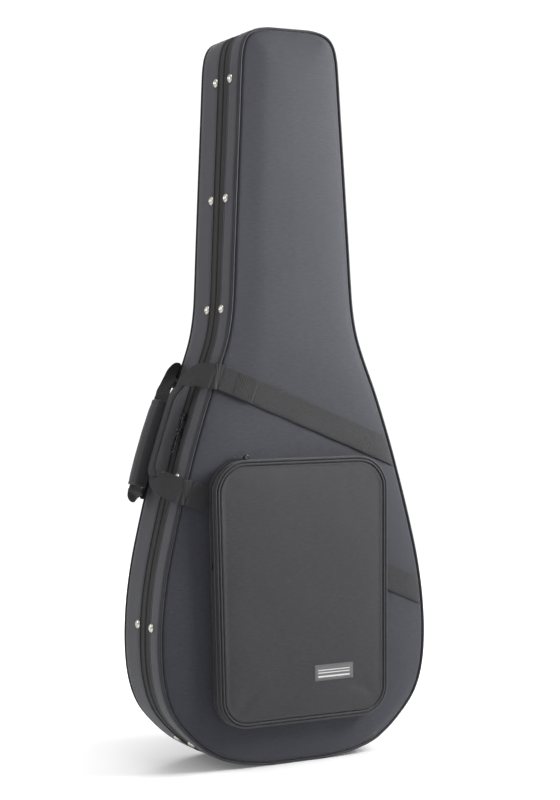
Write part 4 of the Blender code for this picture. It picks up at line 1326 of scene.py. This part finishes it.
class MakeNeckRest(BagOperator):
    """Padded cradle for the neck and the strap that closes over it."""

    bl_idname = "gig_bag.neck_rest"
    bl_label = "Neck rest"

    def make(self, bag):
        shape = cad_copy("neck_cradle")
        for face in shape.faces:
            face.smooth = True
        bmesh.ops.bevel(shape, geom=shape.edges[:], offset=3.2, offset_type="OFFSET", segments=3, profile=0.5,
                        affect="EDGES", material=-1, clamp_overlap=True)
        for face in shape.faces:
            face.smooth = True
        cradle = piece("neck_rest_pad", shape, look("plush"), "rear_shell", ("neck_cradle",), closed=True)
        low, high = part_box("neck_strap")
        x0, x1 = low.x / MM, high.x / MM
        z = (low.z + high.z) / 2 / MM
        half = (high.z - low.z) / 2 / MM

        def place(u, v):
            x, q = x0 + (x1 - x0) * u, 2 * v - 1
            end = max(0.0, (abs(x) - (x1 - 9)) / 9)
            wide = half * math.sqrt(max(0.0, 1 - (end * 0.8) ** 2)) if x > 0 else half
            return Vector((x, 5.7 + 0.25 * math.sin(x / 14), z + q * wide)), (x - x0, q * half)

        strap = piece("neck_rest_strap", lay_grid(52, 10, place), look("webbing"), None,
                      ("neck_strap",), wall=1.7, edge=0.3, facing=-1)
        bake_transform(strap)


PAD_PATH = [((-51, 716), 19, 2.2), ((-60, 680), 24, 5.0), ((-77, 630), 27, 6.0), ((-97, 570), 28, 6.0),
            ((-113, 500), 28, 6.0), ((-121, 430), 27, 6.0), ((-124, 370), 22, 5.0), ((-124, 348), 18, 3.0)]
TAIL_PATH = [((-124, 306), 12.5), ((-126, 240), 12.5), ((-124, 175), 12.5)]
STRAP_Y = 70.2


class MakeBackStraps(BagOperator):
    """Padded shoulder straps with bound edges, ladder-lock buckles, webbing tails and sewn patches."""

    bl_idname = "gig_bag.back_straps"
    bl_label = "Shoulder straps"

    def make(self, bag):
        for suffix, mirror in (("left", 1), ("right", -1)):
            body = "strap_" + suffix
            self.pad(suffix, mirror, body)
            self.tail(suffix, mirror, body)
            dress_cad("ladder_lock_" + suffix, look("plastic"), 0.6)
            self.patches(suffix)

    def pad(self, suffix, mirror, body):
        run = smooth_run([Vector((x, z, half, thick)) for (x, z), half, thick in PAD_PATH], 8)
        lengths = [0.0]
        for a, b in zip(run, run[1:]):
            lengths.append(lengths[-1] + (b.xy - a.xy).length)

        def station(i):
            travel = (run[min(i + 1, len(run) - 1)].xy - run[max(i - 1, 0)].xy).normalized()
            return run[i].xy, Vector((-travel.y, travel.x)), run[i].z, run[i].w

        def place(u, v):
            i = round(u * (len(run) - 1))
            spot, across, half, thick = station(i)
            angle = 2 * math.pi * v
            c, s = math.cos(angle), math.sin(angle)
            edge = max(0.0, abs(c) - 0.93) / 0.07
            lens = math.copysign(abs(s) ** 0.7, s) * (1 - 0.12 * math.cos(lengths[i] / 9.5) ** 8 * (s > 0))
            flat = spot + across * half * math.copysign(abs(c) ** 0.8, c)
            y = STRAP_Y + thick + lens * thick * (0.98 + 0.02 * edge)
            return Vector((mirror * flat.x, y, flat.y)), (lengths[i], half * 4 * v)

        shape = lay_grid(len(run) - 1, 32, place, merge=True)
        bmesh.ops.holes_fill(shape, edges=[e for e in shape.edges if e.is_boundary], sides=40)
        pad = piece("shoulder_pad_" + suffix, shape, look("pocket"), body,
                    ("strap_pad_" + suffix,), closed=True)
        bound = bmesh.new()
        seams = bmesh.new()
        for sign in (1, -1):
            stations = []
            for i in range(0, len(run), 3):
                spot, across, half, thick = station(i)
                flat = spot + across * (half - 0.8) * sign
                wide = Vector((mirror * across.x, 0, across.y)) * 2.2
                stations.append((Vector((mirror * flat.x, STRAP_Y + thick, flat.y)), wide, Vector((0, 1.9, 0))))
            join(bound, tube(stations, 10, 2, 0.8))
            path = []
            for i in range(len(run)):
                spot, across, half, thick = station(i)
                flat = spot + across * (half - 4.6) * sign
                path.append(Vector((mirror * flat.x, STRAP_Y + thick * (1 + 0.62), flat.y)))
            sew(seams, path, lambda p: Vector((0, 1, 0)), 3.8, 2.8, 0.7)
        piece("shoulder_pad_binding_" + suffix, bound, look("binding"), body, closed=True)
        piece("shoulder_pad_stitches_" + suffix, seams, look("thread"), body, closed=True)

    def tail(self, suffix, mirror, body):
        stations = [(Vector((mirror * x, STRAP_Y + 1.4, z)), Vector((mirror, 0, 0)), half, 0.0, 0.0)
                    for (x, z), half in TAIL_PATH]
        piece("strap_webbing_" + suffix, ribbon(stations, 16, 8), look("webbing"), body,
              ("strap_tail_" + suffix,), wall=1.4, edge=0.3)

    def patches(self, suffix):
        for part in ("top", "foot"):
            node = f"strap_{part}_patch_{suffix}"
            low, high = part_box(node)
            x0, x1, z0, z1 = (v / MM for v in (low.x, high.x, low.z, high.z))

            def place(u, v):
                x, z = x0 + (x1 - x0) * u, z0 + (z1 - z0) * v
                return Vector((x, max(face_at(1, x, z), FACE_DEPTH) + 2.0, z)), (x - x0, z - z0)

            piece(f"strap_{part}_tab_{suffix}", lay_grid(14, 10, place), look("webbing"), "rear_shell",
                  (node,), wall=1.5, edge=0.35)
            seams = bmesh.new()
            corners = []
            for x, z in ((x0 + 3, z0 + 2.6), (x1 - 3, z0 + 2.6), (x1 - 3, z1 - 2.6), (x0 + 3, z1 - 2.6)):
                corners.append(Vector((x, max(face_at(1, x, z), FACE_DEPTH) + 2.05, z)))
            box_stitches(seams, corners, Vector((0, 1, 0)))
            piece(f"strap_{part}_stitches_{suffix}", seams, look("thread"), "rear_shell", closed=True)


# ---------------------------------------------------------------- stage


# Name, place, aim and size in metres, and spread in degrees. The power of each is a setting.
LIGHTS = (
    ("key", (1.2, -0.66, 1.12), (0, 0, 0.8), 0.7, 140),
    ("top", (-0.4, -0.6, 2.5), (0, 0, 0.6), 1.2, 180),
    ("side", (-2.0, 0.9, 1.3), (0, 0, 0.6), 1.0, 180),
    ("back", (0.9, 2.3, 1.5), (0, 0, 0.6), 1.2, 180),
)
CAMERA_PLACE, CAMERA_AIM, CAMERA_ROLL = (-1.2445, -2.4065, 0.5957), (0.46247, 0.88643, -0.01906), -0.0131
BACKDROP_WHITE = 1.1
# Painted glow of the floor, seen only by the camera, by the bag and far from it, and the two distances in metres. The
# glow is weaker by the bag, which paints the floor darker there as painted shade.
PAINTED_FLOOR_GLOW_NEAR, PAINTED_FLOOR_GLOW_FAR, GLOW_START, GLOW_END = 0.1, 0.68, 0.12, 0.75


def soft_light(name, place, aim, size, power, spread):
    data = bpy.data.lights.new(name, "AREA")
    data.spread = math.radians(spread)
    data.shape, data.size, data.energy = "SQUARE", size, power
    made = bpy.data.objects.new(name, data)
    made.location = place
    made.rotation_euler = (Vector(aim) - Vector(place)).to_track_quat("-Z", "Y").to_euler()
    made.visible_camera = False
    bpy.context.scene.collection.objects.link(made)
    return made


class MakeStage(BagOperator):
    """Pale floor that glows to the camera as painted light, less near the bag as painted shade, even white surround,
    soft lights and the camera.
    """

    bl_idname = "gig_bag.stage"
    bl_label = "Stage"

    def make(self, bag):
        studio = bag.studio
        scene = bpy.context.scene
        scene.view_settings.view_transform = "Standard"
        ground = bmesh.new()
        bmesh.ops.create_grid(ground, x_segments=4, y_segments=4, size=14.0)
        mesh = bpy.data.meshes.new("floor")
        ground.to_mesh(mesh)
        ground.free()
        surface, tree, shader = new_look("floor_paper")
        place = add(tree, "ShaderNodeTexCoord").outputs["Object"]
        tone = put_group(tree, patches_group(), {"Place": place, "Slow scale": 0.8, "Contrast": 0.02})["Tone"]
        tree.links.new(tinted(tree, (0.9, 0.9, 0.9), tone), shader.inputs["Base Color"])
        shader.inputs["Roughness"].default_value = 0.75
        shader.inputs["Emission Color"].default_value = (1, 1, 1, 1)
        # Painted light: the floor glows to the camera, less near the bag, where it reads darker as painted shade.
        seen = add(tree, "ShaderNodeLightPath").outputs["Is Camera Ray"]
        away = add(tree, "ShaderNodeVectorMath", {0: place}, operation="LENGTH").outputs["Value"]
        painted_floor_glow = add(tree, "ShaderNodeMapRange", {0: away, 1: GLOW_START, 2: GLOW_END, 3: PAINTED_FLOOR_GLOW_NEAR,
                                                 4: PAINTED_FLOOR_GLOW_FAR}).outputs[0]
        tree.links.new(sum_of(tree, "MULTIPLY", seen, painted_floor_glow), shader.inputs["Emission Strength"])
        mesh.materials.append(surface)
        floor = bpy.data.objects.new("floor", mesh)
        scene.collection.objects.link(floor)
        world = bpy.data.worlds.new("surround")
        world.use_nodes = True
        background = world.node_tree.nodes["Background"]
        background.inputs["Color"].default_value = (1, 1, 1, 1)
        seen = add(world.node_tree, "ShaderNodeLightPath").outputs["Is Camera Ray"]
        strength = sum_of(world.node_tree, "MULTIPLY_ADD", seen, BACKDROP_WHITE - studio.sky, studio.sky)
        world.node_tree.links.new(strength, background.inputs["Strength"])
        scene.world = world
        for name, place, aim, size, spread in LIGHTS:
            soft_light(name, place, aim, size, getattr(studio, name + "_power"), spread)
        data = bpy.data.cameras.new("camera")
        data.lens, data.sensor_width, data.sensor_fit = studio.lens, 36.0, "AUTO"
        data.clip_start, data.clip_end = 0.05, 100
        camera = bpy.data.objects.new("camera", data)
        forward = Vector(CAMERA_AIM).normalized()
        level = forward.cross(Vector((0, 0, 1))).normalized()
        rise = level.cross(forward)
        right = level * math.cos(CAMERA_ROLL) + rise * math.sin(CAMERA_ROLL)
        turn = Matrix((right, right.cross(forward), -forward)).transposed().to_4x4()
        camera.matrix_world = Matrix.Translation(CAMERA_PLACE) @ turn
        scene.collection.objects.link(camera)
        scene.camera = camera


SETTINGS = (ClothTints, CaseShape, StudioSettings, GigBagSettings)
OPERATORS = (MakeStage, MakeCovers, MakePiping, MakeZip, MakeSpine, MakeInside, MakeStuds, MakeFaceStraps,
             MakeHandles, MakePocket, MakeZipFittings, MakeNeckRest, MakeBackStraps)


class GigBagPanel(bpy.types.Panel):
    """Sidebar panel with the bag's settings and its pieces."""

    bl_idname = "VIEW3D_PT_gig_bag"
    bl_label = "Gig bag"
    bl_space_type = "VIEW_3D"
    bl_region_type = "UI"
    bl_category = "Gig bag"

    def draw(self, context):
        layout = self.layout
        for group in (context.scene.gig_bag.shape, context.scene.gig_bag.cloth, context.scene.gig_bag.studio):
            box = layout.box()
            for key in group.__annotations__:
                box.prop(group, key)
        for operator in OPERATORS:
            layout.operator(operator.bl_idname)


def register():
    for kind in (*SETTINGS, *OPERATORS, GigBagPanel):
        bpy.utils.register_class(kind)
    bpy.types.Scene.gig_bag = PointerProperty(type=GigBagSettings)


def unregister():
    del bpy.types.Scene.gig_bag
    for kind in reversed((*SETTINGS, *OPERATORS, GigBagPanel)):
        bpy.utils.unregister_class(kind)


def main():
    register()
    for operator in OPERATORS:
        group, name = operator.bl_idname.split(".")
        getattr(getattr(bpy.ops, group), name)()


if __name__ == "__main__":
    main()
